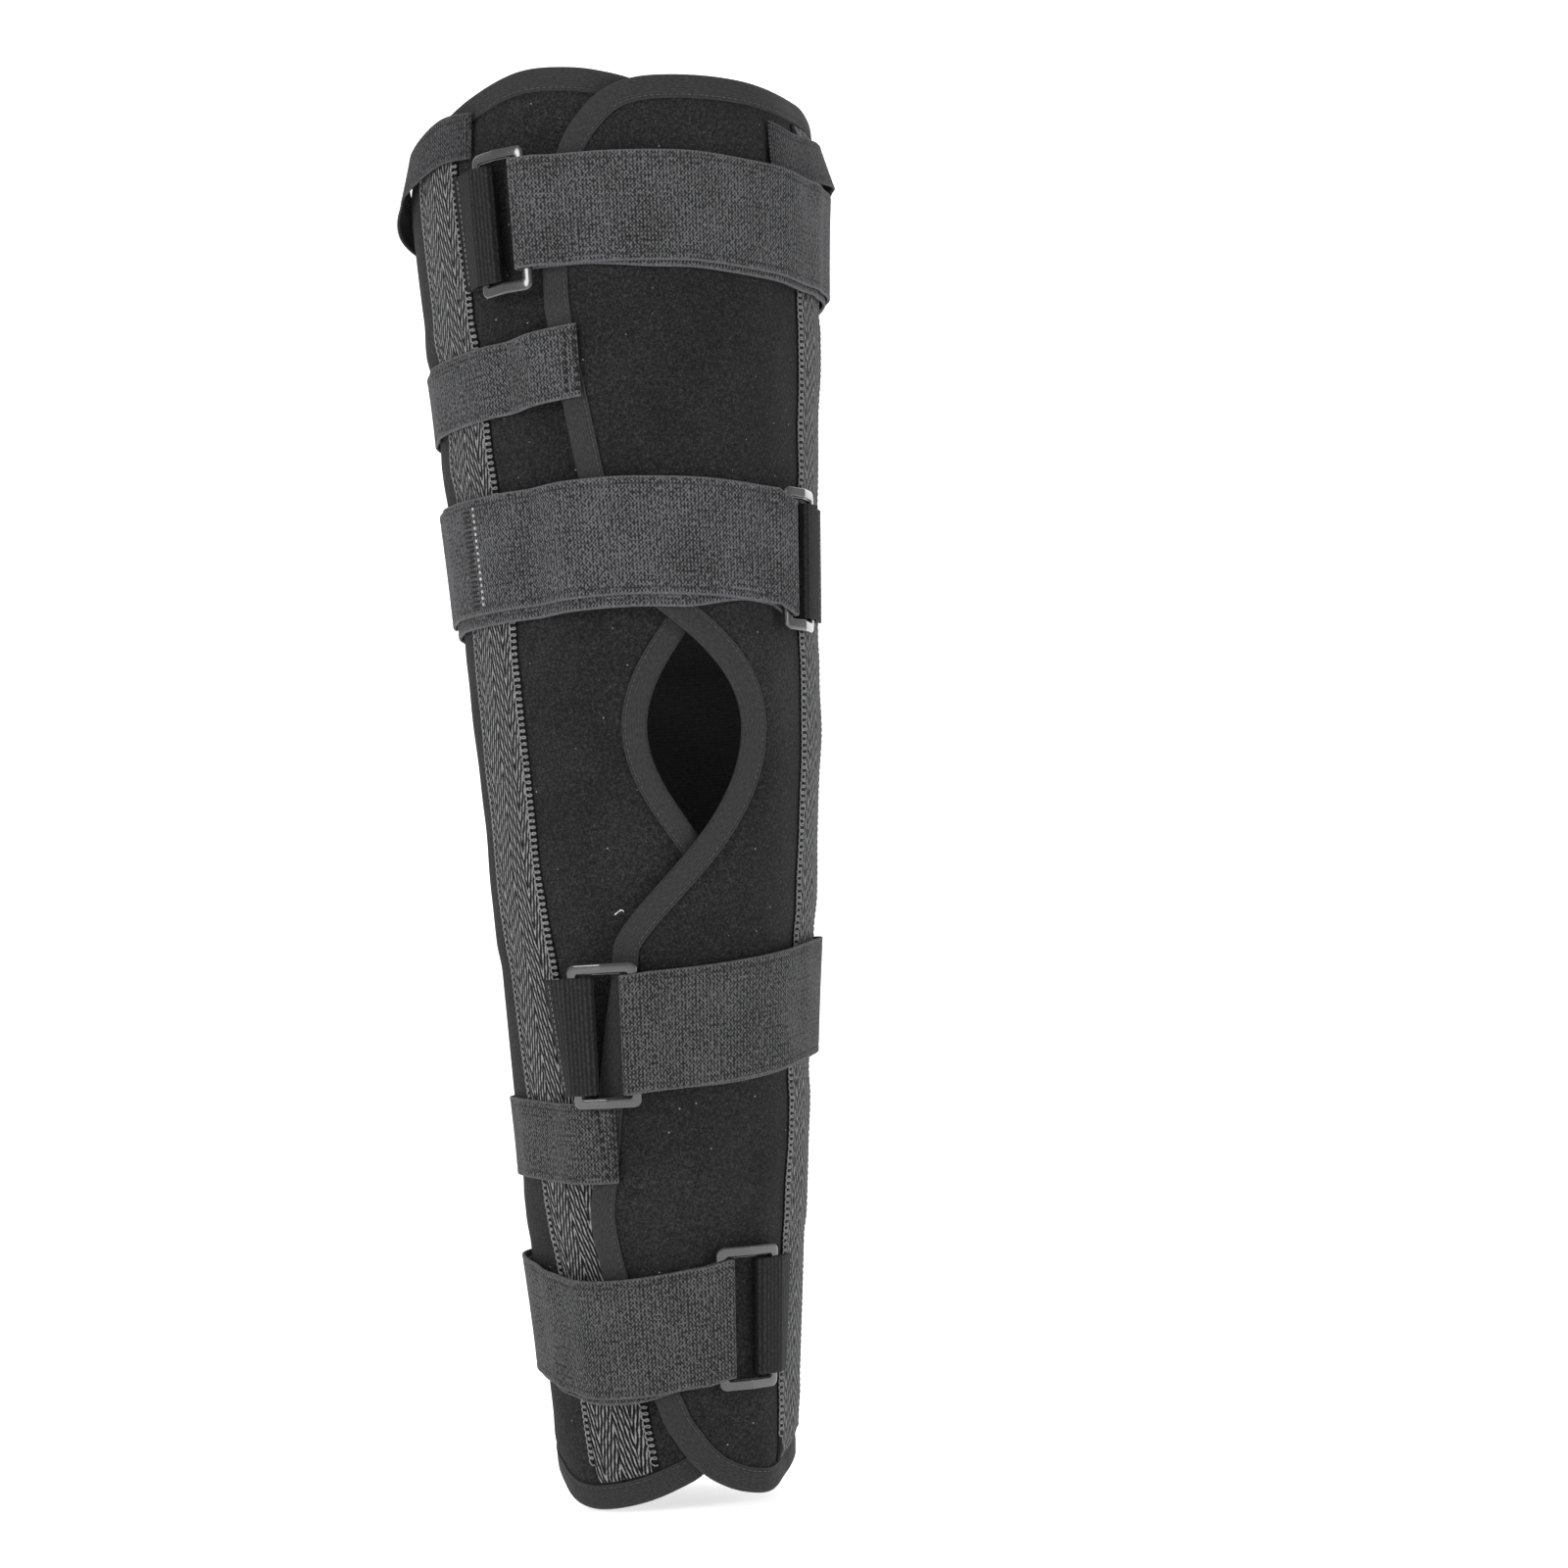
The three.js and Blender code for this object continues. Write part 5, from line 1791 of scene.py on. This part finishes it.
def on_face(surface: Surface, along: np.ndarray, across: np.ndarray) -> tuple[np.ndarray, np.ndarray]:
    """Points of a strip's visible face, and the directions away from the cloth there.

    Args:
        surface: The strip.
        along: Distances along it.
        across: Distances from its middle line.

    Returns:
        Points and directions, for every pair of distances.
    """
    along, across = np.broadcast_arrays(along, across)
    lengths, widths = surface.cloth[:, 0, 1], surface.cloth[0, :, 0]
    row = np.interp(along, lengths, np.arange(len(lengths)))
    column = np.interp(across, widths, np.arange(len(widths)))
    i = np.minimum(row.astype(int), len(lengths) - 2)
    j = np.minimum(column.astype(int), len(widths) - 2)
    u, v = (row - i)[..., None], (column - j)[..., None]
    face, normal = visible_face(surface, np.arange(len(lengths)))
    near = face[i, j] * (1 - v) + face[i, j + 1] * v
    far = face[i + 1, j] * (1 - v) + face[i + 1, j + 1] * v
    return near * (1 - u) + far * u, normal[i] * (1 - u) + normal[i + 1] * u


def across_strip(
    surface: Surface, at: float, margin: float, slant: float = 0.0
) -> tuple[np.ndarray, np.ndarray]:
    """A line across a strip, and the directions away from the cloth on it.

    Args:
        surface: The strip.
        at: Distance along it; counted from its far end where negative.
        margin: How far from each edge the line stops.
        slant: How much further along the strip the line's upper end lies than its lower end.

    Returns:
        Points and directions.
    """
    reach = surface.cloth[0, -1, 0] - margin
    share = np.linspace(-0.5, 0.5, 40)
    start = at if at >= 0 else surface.cloth[-1, 0, 1] + at
    return on_face(surface, start + slant * share, 2 * reach * share)


def along_strip(surface: Surface, first: float, last: float, across: float) -> tuple[np.ndarray, np.ndarray]:
    """A line along a strip between two distances, and the directions away from the cloth on it."""
    return on_face(surface, np.linspace(first, last, 24), np.array(across))


@dataclass(frozen=True)
class LoopSizes:
    """A loop's and its webbing's sizes in millimetres, as in the part's source.

    webbing_ease is how much further from the bar the cloth's fold stands than the solid's.
    """

    width: float = 26.5
    play: float = 1.0
    fold_play: float = 0.5
    bar: float = 4.0
    end: float = 4.7
    thickness: float = 2.5
    corner: float = 3.0
    slot_corner: float = 1.0
    strap_thickness: float = 1.5
    webbing_width: float = 49.0
    webbing_thickness: float = 1.2
    webbing_slack: float = 1.8
    webbing_ease: float = 1.4

    @property
    def slot_high(self) -> float:
        """Half the slot's height."""
        return (STRAP_WIDTH + self.play) / 2


LOOP = LoopSizes()


class Closure:
    """The places that a strap, its loop and its loop tab share."""

    def __init__(self, plan: StrapPlan, layers: Layers) -> None:
        """Works out the loop's bars from what lies under them.

        Args:
            plan: The strap's plan.
            layers: What lies on the leg.
        """
        self.plan, self.layers, self.leg = plan, layers, layers.leg
        self.line = layers.strap_lines[STRAPS.index(plan)]
        self.z = float(self.line(plan.angle))
        self.rate = float(self.leg.rate(plan.angle, self.z, 2 * layers.sizes.wall))
        self.bar_middle = LOOP.width / 2 - LOOP.bar / 2
        self.middle = self.z - plan.sag * plan.width
        self.strap_bar = self._under(plan.side, LOOP.strap_thickness)
        self.webbing_bar = self._under(-plan.side, LOOP.webbing_thickness)

    def angle_at(self, x: np.ndarray) -> np.ndarray:
        """The angle at a distance round the leg from the loop's middle."""
        return self.plan.angle + np.asarray(x, float) / self.rate

    def _under(self, side: int, thickness: float) -> float:
        """The height of the middle of a bar that clears a strip and what lies under it.

        Args:
            side: -1 or 1, the bar's side.
            thickness: The thickness of the strip round it.

        Returns:
            The out.
        """
        spots = np.linspace(LOOP.width / 2 - LOOP.bar - 2 * LOOP.webbing_slack, LOOP.width / 2 + LOOP.bar, 5)
        width = STRAP_WIDTH + LOOP.play + 2 * LOOP.end
        highest = self.layers.seat(self.angle_at(side * spots), np.full(5, self.middle), width).max()
        return float(highest) + SIZES.clearance + thickness + LOOP.fold_play + LOOP.thickness / 2

    def fold(self, x: float, out: float, radius: float, towards: int) -> tuple[np.ndarray, np.ndarray]:
        """A half turn round a bar: angles from x plus the radius' cosine, outs from out plus its sine."""
        turn = np.radians(np.linspace(-90, 90, 11))
        return self.angle_at(x + towards * radius * np.cos(turn)), out + radius * np.sin(turn)

    def bar_height(self, x: np.ndarray) -> np.ndarray:
        """The out of the loop's middle face, mixed between its two bars."""
        share = np.clip(x * self.plan.side / self.bar_middle, -1, 1) / 2 + 0.5
        return self.webbing_bar * (1 - share) + self.strap_bar * share


class StrapPiece:
    """One woven strap: sewn at the back, round its loop's bar and back over itself to its free end."""

    STEP = 2.2
    BOX = (3, 24)
    BOX_MARGIN = 3.5
    ANCHOR_STITCHES = Stitching(2.6, 1.9, 0.28, 0.28)
    PATCH_ANGLE = -49.8
    PATCH_STITCHES = Stitching(2.7, 1.0, 0.6, 0.4)
    BAR_PITCH = 2.1
    BAR_SPAN = (2.2, 8.2)
    BAR_RADIUS = 0.4

    def __init__(self, place: Closure, finishes: Finishes) -> None:
        """Keeps the strap's places.

        Args:
            place: The strap's closure.
            finishes: The materials.
        """
        self.place, self.plan, self.finishes = place, place.plan, finishes
        self.strip = Strip(self.plan.width, LOOP.strap_thickness, ripple=0.45)

    def _path(self) -> tuple[Path, tuple[int, int]]:
        """The middle line: the under layer, the fold and the upper layer, and the fold's stations.

        Returns:
            The path, and the first and the last station of the fold.
        """
        place, plan = self.place, self.plan
        inner = plan.side * (LOOP.width / 2 - LOOP.bar)
        start = float(place.angle_at(plan.side * (LOOP.width / 2 + LOOP.bar)))
        radius = LOOP.thickness / 2 + LOOP.fold_play + LOOP.strap_thickness / 2
        lowest, highest = place.strap_bar - radius, place.strap_bar + radius

        def rest(angle: np.ndarray) -> np.ndarray:
            """The under layer's out.

            Args:
                angle: Degrees round the leg.

            Returns:
                The outs.
            """
            under = place.layers.seat(angle, place.line(angle), plan.width) + SIZES.clearance
            seated = under + LOOP.strap_thickness / 2
            return np.maximum(seated, lowest - Layers.SLOPE * np.abs(angle - start) * place.rate)

        count = int(abs(plan.anchor - start) * place.rate / self.STEP)
        under = np.linspace(plan.anchor, start, count)
        drop = plan.drop * plan.width * ease(8, 30, np.abs(under - start))
        count = int(abs(plan.end - start) * place.rate / self.STEP)
        over = np.linspace(start, plan.end, count)
        slope = highest - Layers.SLOPE * np.abs(over - start) * place.rate
        over_out = np.maximum(rest(over) + LOOP.strap_thickness + SIZES.clearance, slope)
        turn_angle, turn_out = place.fold(inner, place.strap_bar, radius, -plan.side)
        under_out = smoothed(rest(under), 2)
        under_out[-1], over_out[0] = lowest, highest
        over_out[1:] = smoothed(over_out, 2)[1:]
        angle = np.concatenate([under, turn_angle, over])
        out = np.concatenate([under_out, turn_out, over_out])
        z = np.concatenate([place.line(under) - drop, np.full(11, place.z), place.line(over)])
        return Path(angle, out, z), (len(under) - 4, len(under) + 15)

    def build(self) -> None:
        """Makes the strap, its stitches at the anchor and, where the plan has one, the stitches of the free
        end's patch.
        """
        path, fold = self._path()
        calm = np.ones(len(path.angle))
        calm[fold[0] : fold[1]] = 0
        calm = smoothed(calm, 4)
        surface = self.strip.surface(self.place.leg, path, calm)
        finish = (self.finishes.elastic(self.plan.width), "woven_elastic")
        rests_on = ["back_panel_cloth", f"{self.plan.name}_loop_frame"]
        self.strip.make(f"{self.plan.name}_strap", surface, finish, rests_on)
        self._sew_anchor(surface)
        if self.plan.has_end_patch:
            self._end_patch(surface)

    def _sew_anchor(self, surface: Surface) -> None:
        """Sews a box of stitches where the strap is sewn to the back.

        Args:
            surface: The strap's grids.
        """
        low, high = self.BOX
        side = self.plan.width / 2 - self.strip.SEWN_LINE
        rows = [across_strip(surface, at, self.BOX_MARGIN) for at in self.BOX]
        rows += [along_strip(surface, low, high, across) for across in (-side, side)]
        for number, line in enumerate(rows):
            name = f"{self.plan.name}_anchor_stitches_{number}"
            self.ANCHOR_STITCHES.sew(name, line, self.finishes.grey_thread)

    def _end_patch(self, surface: Surface) -> None:
        """Sews the turned-back end near the loop: a row of light stitches and the bars of a zigzag.

        Their places follow the photograph: bars 6 mm long and 2.1 mm apart, beside the light stitches.

        Args:
            surface: The strap's grids.
        """
        middle = surface.outer.shape[1] // 2
        angles = np.degrees(np.arctan2(surface.outer[:, middle, 0], -surface.outer[:, middle, 1]))
        upper = np.arange(len(angles)) > len(angles) // 2
        row = int(np.argmin(np.abs(angles - self.PATCH_ANGLE) + 1000 * ~upper))
        place = surface.cloth[row, 0, 1]
        dots = across_strip(surface, place, 3.0)
        self.PATCH_STITCHES.sew("above_knee_end_dots", dots, self.finishes.white_thread)
        reach = self.plan.width / 2 - 4
        across = np.arange(-reach, reach, self.BAR_PITCH)
        bars, facing = on_face(surface, place + np.linspace(*self.BAR_SPAN, 6), across[:, None])
        thread = self.finishes.black_thread
        thread_piece("above_knee_end_bars", bars + 0.1 * facing, facing, self.BAR_RADIUS, thread)


class LoopTabPiece:
    """The ribbed webbing that holds a loop: sewn at a stay pocket, round the loop's other bar and back."""

    STEPS = 26
    STITCHES = Stitching(2.4, 1.8, 0.24, 0.25)

    def __init__(self, place: Closure, finishes: Finishes) -> None:
        """Keeps the webbing's places.

        Args:
            place: The closure it belongs to.
            finishes: The materials.
        """
        self.place, self.plan, self.finishes = place, place.plan, finishes

    def _end(self, z: np.ndarray) -> np.ndarray:
        """The angle where it is sewn down, at a height.

        Args:
            z: The height.

        Returns:
            The angle in degrees.
        """
        layers = self.place.layers
        if self.plan.hold is Hold.ON_RIGHT_POCKET:
            return layers.right_pocket(z) + 1
        on_left = self.plan.hold is Hold.LEFT_POCKET_EDGE
        line, towards = (layers.left_pocket, 1) if on_left else (layers.right_pocket, -1)
        reach = SIZES.pocket_width / 2 + SIZES.clearance
        return line(z) + towards * reach / self.place.leg.rate(line(z), z)

    def build(self) -> None:
        """Makes the webbing and the stitches at its sewn end."""
        place, z = self.place, self.place.middle
        side = -self.plan.side
        radius = LOOP.thickness / 2 + LOOP.fold_play + LOOP.webbing_thickness / 2
        end = float(self._end(np.float64(z)))
        half = LOOP.webbing_width / 2
        shear = float(self._end(np.float64(z + half)) - self._end(np.float64(z - half))) / 2
        bar = float(place.angle_at(side * LOOP.width / 2))
        t = np.linspace(0, 1, self.STEPS)[:-1]
        angle = end + (bar - end) * t
        fall = Layers.SLOPE * np.abs(bar - angle) * place.rate
        on = On() if self.plan.hold is Hold.ON_RIGHT_POCKET else On(pockets=False)
        seated = place.layers.seat(angle, np.full(angle.shape, z), LOOP.webbing_width, on)
        thick, clear, middle = LOOP.webbing_thickness, SIZES.clearance, place.webbing_bar
        low = np.maximum(seated + clear + thick / 2, middle - radius - fall)
        high = np.maximum(low + thick + clear, middle + radius - fall)
        low, high = smoothed(low, 1), smoothed(high, 1)
        inner = side * (LOOP.width / 2 - LOOP.bar - LOOP.webbing_slack - LOOP.webbing_ease)
        turn_angle, turn_out = place.fold(inner, place.webbing_bar, radius, -side)
        path = Path(
            np.concatenate([angle, [bar], turn_angle, [bar], angle[::-1]]),
            np.concatenate([low, [middle - radius], turn_out, [middle + radius], high[::-1]]),
            np.full(2 * len(angle) + 13, z),
            np.concatenate([shear * (1 - t), np.zeros(13), (shear * (1 - t))[::-1]]),
        )
        strip = Strip(LOOP.webbing_width, LOOP.webbing_thickness, ripple=0.0)
        surface = strip.surface(place.leg, path)
        name = f"{self.plan.name}_loop_tab"
        pocket = "left" if self.plan.hold is Hold.LEFT_POCKET_EDGE else "right"
        finish = (self.finishes.webbing, "ribbed_webbing")
        strip.make(name, surface, finish, [f"{pocket}_stay_pocket_tape"], held="folded")
        self.STITCHES.sew(f"{name}_stitches", across_strip(surface, -2.5, 2.0), self.finishes.grey_thread)


class LoopFrame:
    """A moulded rectangular loop with a ridge along each bar, bent across its middle."""

    PROFILE = (
        (0.0, 0.1), (0.01, 0.5), (0.04, 0.78), (0.1, 0.93), (0.18, 1.0), (0.76, 1.0), (0.83, 0.93),
        (0.86, 0.75), (0.87, 0.5), (0.89, 0.4), (0.91, 0.5), (0.94, 0.58), (0.98, 0.48), (1.0, 0.2),
        (1.0, -0.3), (0.97, -0.8), (0.9, -1.0), (0.5, -1.0), (0.1, -1.0), (0.03, -0.8), (0.0, -0.4),
    )
    SHARP = 24.0
    ROOF = (1.6, 0.25)

    def __init__(self, place: Closure, finishes: Finishes) -> None:
        """Keeps the loop's places."""
        self.place, self.finishes = place, finishes

    @staticmethod
    def _frame(half_wide: float, half_high: float, corner: float) -> np.ndarray:
        """A rounded rectangle as points, close together at its corners and at its ends.

        Args:
            half_wide: Half its width.
            half_high: Half its height.
            corner: The radius of its corners.

        Returns:
            Its points, turning anticlockwise.
        """
        points = []
        turn = np.radians(np.linspace(0, 90, 9))
        for sx, sz, first in ((1, 1, 0), (-1, 1, 90), (-1, -1, 180), (1, -1, 270)):
            heading = turn + np.radians(first)
            points.append(np.stack([sx * (half_wide - corner) + corner * np.cos(heading),
                                    sz * (half_high - corner) + corner * np.sin(heading)], axis=-1))
            if sx * sz > 0:
                end = [[sx * 0.35, sz * half_high], [sx * 0.0, sz * half_high], [-sx * 0.35, sz * half_high]]
                points.append(np.array(end))
            else:
                spread = np.linspace(sz, -sz, 9)[1:-1, None] * (half_high - corner)
                points.append(np.concatenate([np.full((7, 1), sx * half_wide), spread], axis=1))
        return np.concatenate(points)

    def build(self) -> None:
        """Makes the frame: the profile carried round from the outer edge to the slot's."""
        outer = self._frame(LOOP.width / 2, LOOP.slot_high + LOOP.end, LOOP.corner)
        slot = self._frame(LOOP.width / 2 - LOOP.bar, LOOP.slot_high, LOOP.slot_corner)
        profile = np.array(self.PROFILE)
        inward, out = profile[None, :, 0], profile[None, :, 1]
        across = outer[:, None, 0] * (1 - inward) + slot[:, None, 0] * inward
        along = outer[:, None, 1] * (1 - inward) + slot[:, None, 1] * inward
        height = self._height(across) + out * LOOP.thickness / 2
        points = self.place.leg.point(self.place.angle_at(across), self.place.middle + along, height)
        faces, _ = grid_faces(points.shape[0], points.shape[1], ring_rows=True, ring_columns=True)
        name = f"{self.place.plan.name}_loop"
        mesh_piece(
            f"{name}_frame", points.reshape(-1, 3), faces, [self.finishes.nylon],
            crease=self.SHARP, stands_for=(name, "moulded_loop"),
        )

    def _height(self, x: np.ndarray) -> np.ndarray:
        """The out of the loop's middle face: as the bars', with a low roof whose ridge is at the middle."""
        rise, drop = self.ROOF
        return self.place.bar_height(x) + rise * (1 - np.abs(x) / (LOOP.width / 2)) - drop


class ClosureTab:
    """A closure tab of woven elastic that is sewn to the binding of the right flap."""

    STEP = 2.2
    STITCHES = Stitching(3.8, 2.2, 0.7, 0.5)

    def __init__(self, number: int, layers: Layers, finishes: Finishes) -> None:
        """Keeps the tab's plan and line."""
        self.plan, self.line = TABS[number], layers.tab_lines[number]
        self.layers, self.finishes = layers, finishes

    def build(self) -> None:
        """Makes the tab and the stitches at its end."""
        plan, layers = self.plan, self.layers
        rate = float(layers.leg.rate(plan.start, self.line(plan.start)))
        angle = np.linspace(plan.start, plan.end, int((plan.end - plan.start) * rate / self.STEP))
        z = self.line(angle)
        out = layers.seat(angle, z, plan.width, On(tabs=False)) + SIZES.clearance + SIZES.tab_thickness / 2
        strip = Strip(plan.width, SIZES.tab_thickness, ripple=0.4)
        surface = strip.surface(layers.leg, Path(angle, smoothed(out, 2), z))
        finish = (self.finishes.elastic(plan.width), "woven_elastic")
        strip.make(plan.name, surface, finish, ["left_panel_cloth", "edge_binding_tape"])
        for label, at, slant in (("end", -0.9, 0.0), ("hold", *plan.hold)):
            line = across_strip(surface, at, 1.6, slant)
            self.STITCHES.sew(f"{plan.name}_{label}_stitches", line, self.finishes.black_thread)


class ThighBand:
    """The narrow elastic band round the top of the wrap."""

    STEP = 2.2
    STITCHES = Stitching(2.3, 1.7, 0.26, 0.25)

    def __init__(self, layers: Layers, finishes: Finishes) -> None:
        """Keeps what the band lies on."""
        self.layers, self.finishes = layers, finishes

    def build(self) -> None:
        """Makes the band, with its lower edge flared out where it stands off, and its end's stitches."""
        layers, s = self.layers, SIZES
        rate = float(layers.leg.rate(180.0, s.above_knee * 0.85))
        first, last = BAND[0][0], BAND[-1][0]
        angle = np.linspace(first, last, int((last - first) * rate / self.STEP))
        z = layers.band_height(angle)
        near = angle - TURN * np.round(angle / TURN)
        seated = layers.seat(near, z, s.band_width, On(tabs=False)) + s.clearance + s.band_thickness / 2
        base = layers.lift(angle) + s.wall + s.binding_proud + s.clearance + s.band_thickness / 2
        out = smoothed(np.maximum(base, seated), 2)
        strip = Strip(s.band_width, s.band_thickness, ripple=0.3)
        surface = strip.surface(layers.leg, Path(angle, out, z, 0.0, layers.band_flare(angle)))
        # The band's 20 mm elastic tones are darkened as painted shade
        finish = (self.finishes.elastic(s.band_width), "woven_elastic")
        strip.make("thigh_band", surface, finish, ["back_panel_cloth", "right_panel_cloth"])
        for label, at in (("first", 2.0), ("last", -2.0)):
            line = across_strip(surface, at, 1.6)
            self.STITCHES.sew(f"thigh_band_{label}_stitches", line, self.finishes.black_thread)


class LooseThread:
    """The short end of white thread that stands off the shin."""

    ANGLE = -10.5
    HEIGHT = -76.0
    RADIUS = 0.3

    def __init__(self, layers: Layers, finishes: Finishes) -> None:
        """Keeps what it lies on."""
        self.layers, self.finishes = layers, finishes

    def build(self) -> None:
        """Makes a curl 6 mm long: a quarter turn that rises off the cloth."""
        t = np.linspace(0, 1, 14)
        rate = float(self.layers.leg.rate(self.ANGLE, self.HEIGHT))
        angle = self.ANGLE + (4.2 * t + 0.6 * np.sin(4 * t)) / rate
        z = self.HEIGHT + 2.6 * np.sin(2.2 * t) - 1.0 * t
        out = self.layers.lift(angle) + SIZES.wall + 0.9 + 1.2 * np.sin(np.pi * t)
        path = self.layers.leg.point(angle, z, out)
        normal = self.layers.leg.point(angle, z, out + 1) - path
        thread_piece("loose_white_thread", path[None], normal[None], self.RADIUS, self.finishes.white_thread)


# The studio


@dataclass(frozen=True)
class CameraPlan:
    """The photograph's camera: distance and aim in metres, pitch and roll in degrees, lens in mm."""

    distance: float = 1.5
    aim: tuple[float, float, float] = (0.0608, 0.0, -0.02135)
    pitch: float = 3.26
    roll: float = 2.93
    lens: float = 79.04

    def place(self) -> None:
        """Makes the camera and sets it as the scene's."""
        pitch, roll = math.radians(self.pitch), math.radians(self.roll)
        forward = Vector((0.0, math.cos(pitch), math.sin(pitch)))
        flat_right, flat_up = Vector((1.0, 0.0, 0.0)), Vector((0.0, -math.sin(pitch), math.cos(pitch)))
        right = flat_right * math.cos(roll) - flat_up * math.sin(roll)
        up = flat_up * math.cos(roll) + flat_right * math.sin(roll)
        data = bpy.data.cameras.new("camera")
        data.lens, data.sensor_width, data.sensor_fit = self.lens, 36.0, "HORIZONTAL"
        data.dof.use_dof = False
        camera = bpy.data.objects.new("camera", data)
        turn = Matrix((right, up, -forward)).transposed()
        camera.matrix_world = Matrix.Translation(Vector(self.aim) - forward * self.distance) @ turn.to_4x4()
        bpy.context.scene.collection.objects.link(camera)
        bpy.context.scene.camera = camera


@dataclass(frozen=True)
class LightPlan:
    """A soft lamp: where it is, how large and how strong, aimed at the middle of the knee."""

    name: str
    place: tuple[float, float, float]
    size: float
    watts: float

    def hang(self) -> None:
        """Makes the lamp and turns it to its aim."""
        data = bpy.data.lights.new(self.name, "AREA")
        data.shape, data.size, data.energy = "SQUARE", self.size, self.watts
        lamp = bpy.data.objects.new(self.name, data)
        lamp.location = self.place
        lamp.rotation_euler = (-Vector(self.place)).to_track_quat("-Z", "Y").to_euler()
        bpy.context.scene.collection.objects.link(lamp)


class Studio:
    """A seamless pale sweep, a pale world and soft lamps."""

    FLOOR_Z = -0.3275
    WORLD = 0.57
    GLOW = 0.62
    WALL = (1.2, 2.6)
    LIGHTS = (
        LightPlan("key_left", (-1.45, -1.6, 0.55), 0.75, 19.5),
        LightPlan("fill_right", (1.75, -1.0, 0.12), 0.7, 9.0),
        LightPlan("top_soft", (0.0, -0.3, 1.9), 1.2, 12.0),
    )

    def build(self) -> None:
        """Makes the sweep, the world and the lamps, and sets how light becomes tone."""
        self._sweep()
        world = bpy.data.worlds.new("pale_world")
        world.use_nodes = True
        background = world.node_tree.nodes["Background"].inputs
        background["Color"].default_value = linear_colour("ffffff")
        background["Strength"].default_value = self.WORLD
        scene = bpy.context.scene
        scene.world = world
        scene.view_settings.view_transform = "Standard"
        scene.view_settings.look = "None"
        for light in self.LIGHTS:
            light.hang()

    def _sweep(self) -> None:
        """A floor that curves up into a wall far behind, as one sheet."""
        t = np.linspace(0, 1, 24)
        turn = t * math.pi / 2
        radius, back = self.WALL
        y = np.concatenate([[-6.0], back + radius * np.sin(turn), [back + radius]])
        z = np.concatenate([[0.0], radius * (1 - np.cos(turn)), [radius + 4.0]]) + self.FLOOR_Z
        x = np.linspace(-6, 6, 9)
        grid = np.stack(np.broadcast_arrays(x[None, :], y[:, None], z[:, None]), axis=-1)
        faces, _ = grid_faces(len(y), len(x))
        mesh = bpy.data.meshes.new("sweep")
        mesh.from_pydata(grid.reshape(-1, 3).tolist(), [], faces[:, ::-1].tolist())
        mesh.polygons.foreach_set("use_smooth", np.ones(len(faces), bool))
        paper = Graph("seamless_paper")
        grain = paper.add("TexNoise", Vector=paper.millimetres(on_cloth=False), Scale=0.5, Detail=2.0)
        colour = paper.add("ValToRGB", grain, stops=((0.3, "f6f6f6"), (0.7, "fafafa")))
        # The paper is lit on its own, as a studio's backdrop is, so that it stays white
        paper.shader.inputs["Emission Color"].default_value = linear_colour("ffffff")
        look = {"Roughness": 0.9, "Specular_IOR_Level": 0.1, "Emission_Strength": self.GLOW}
        mesh.materials.append(paper.dress(colour, grain, 0.02, **look))
        sweep = bpy.data.objects.new("sweep", mesh)
        bpy.context.scene.collection.objects.link(sweep)
        sweep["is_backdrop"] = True


def corners(box: Sequence[Sequence[float]]) -> list[list[float]]:
    """A box's two corners as plain lists."""
    return [[float(v) for v in corner] for corner in box]


def main() -> None:
    """Builds the studio and the object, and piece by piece."""
    logging.basicConfig(level=logging.INFO, format="%(message)s")
    CameraPlan().place()
    Studio().build()
    layers = Layers(LegForm(SIZES))
    finishes = Finishes()
    wrap = Wrap(layers, finishes)
    wrap.build()
    StayPocket("left_stay_pocket", layers.left_pocket, TURN, wrap).build()
    StayPocket("right_stay_pocket", layers.right_pocket, 0.0, wrap).build()
    ThighBand(layers, finishes).build()
    for number in range(len(TABS)):
        ClosureTab(number, layers, finishes).build()
    for plan in STRAPS:
        place = Closure(plan, layers)
        StrapPiece(place, finishes).build()
        LoopTabPiece(place, finishes).build()
        LoopFrame(place, finishes).build()
    LooseThread(layers, finishes).build()
    boxes = {"cad": corners(CAD_BOX), "visual": corners(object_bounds())}
    LOG.info("boxes: %s", boxes)


if __name__ == "__main__":
    main()
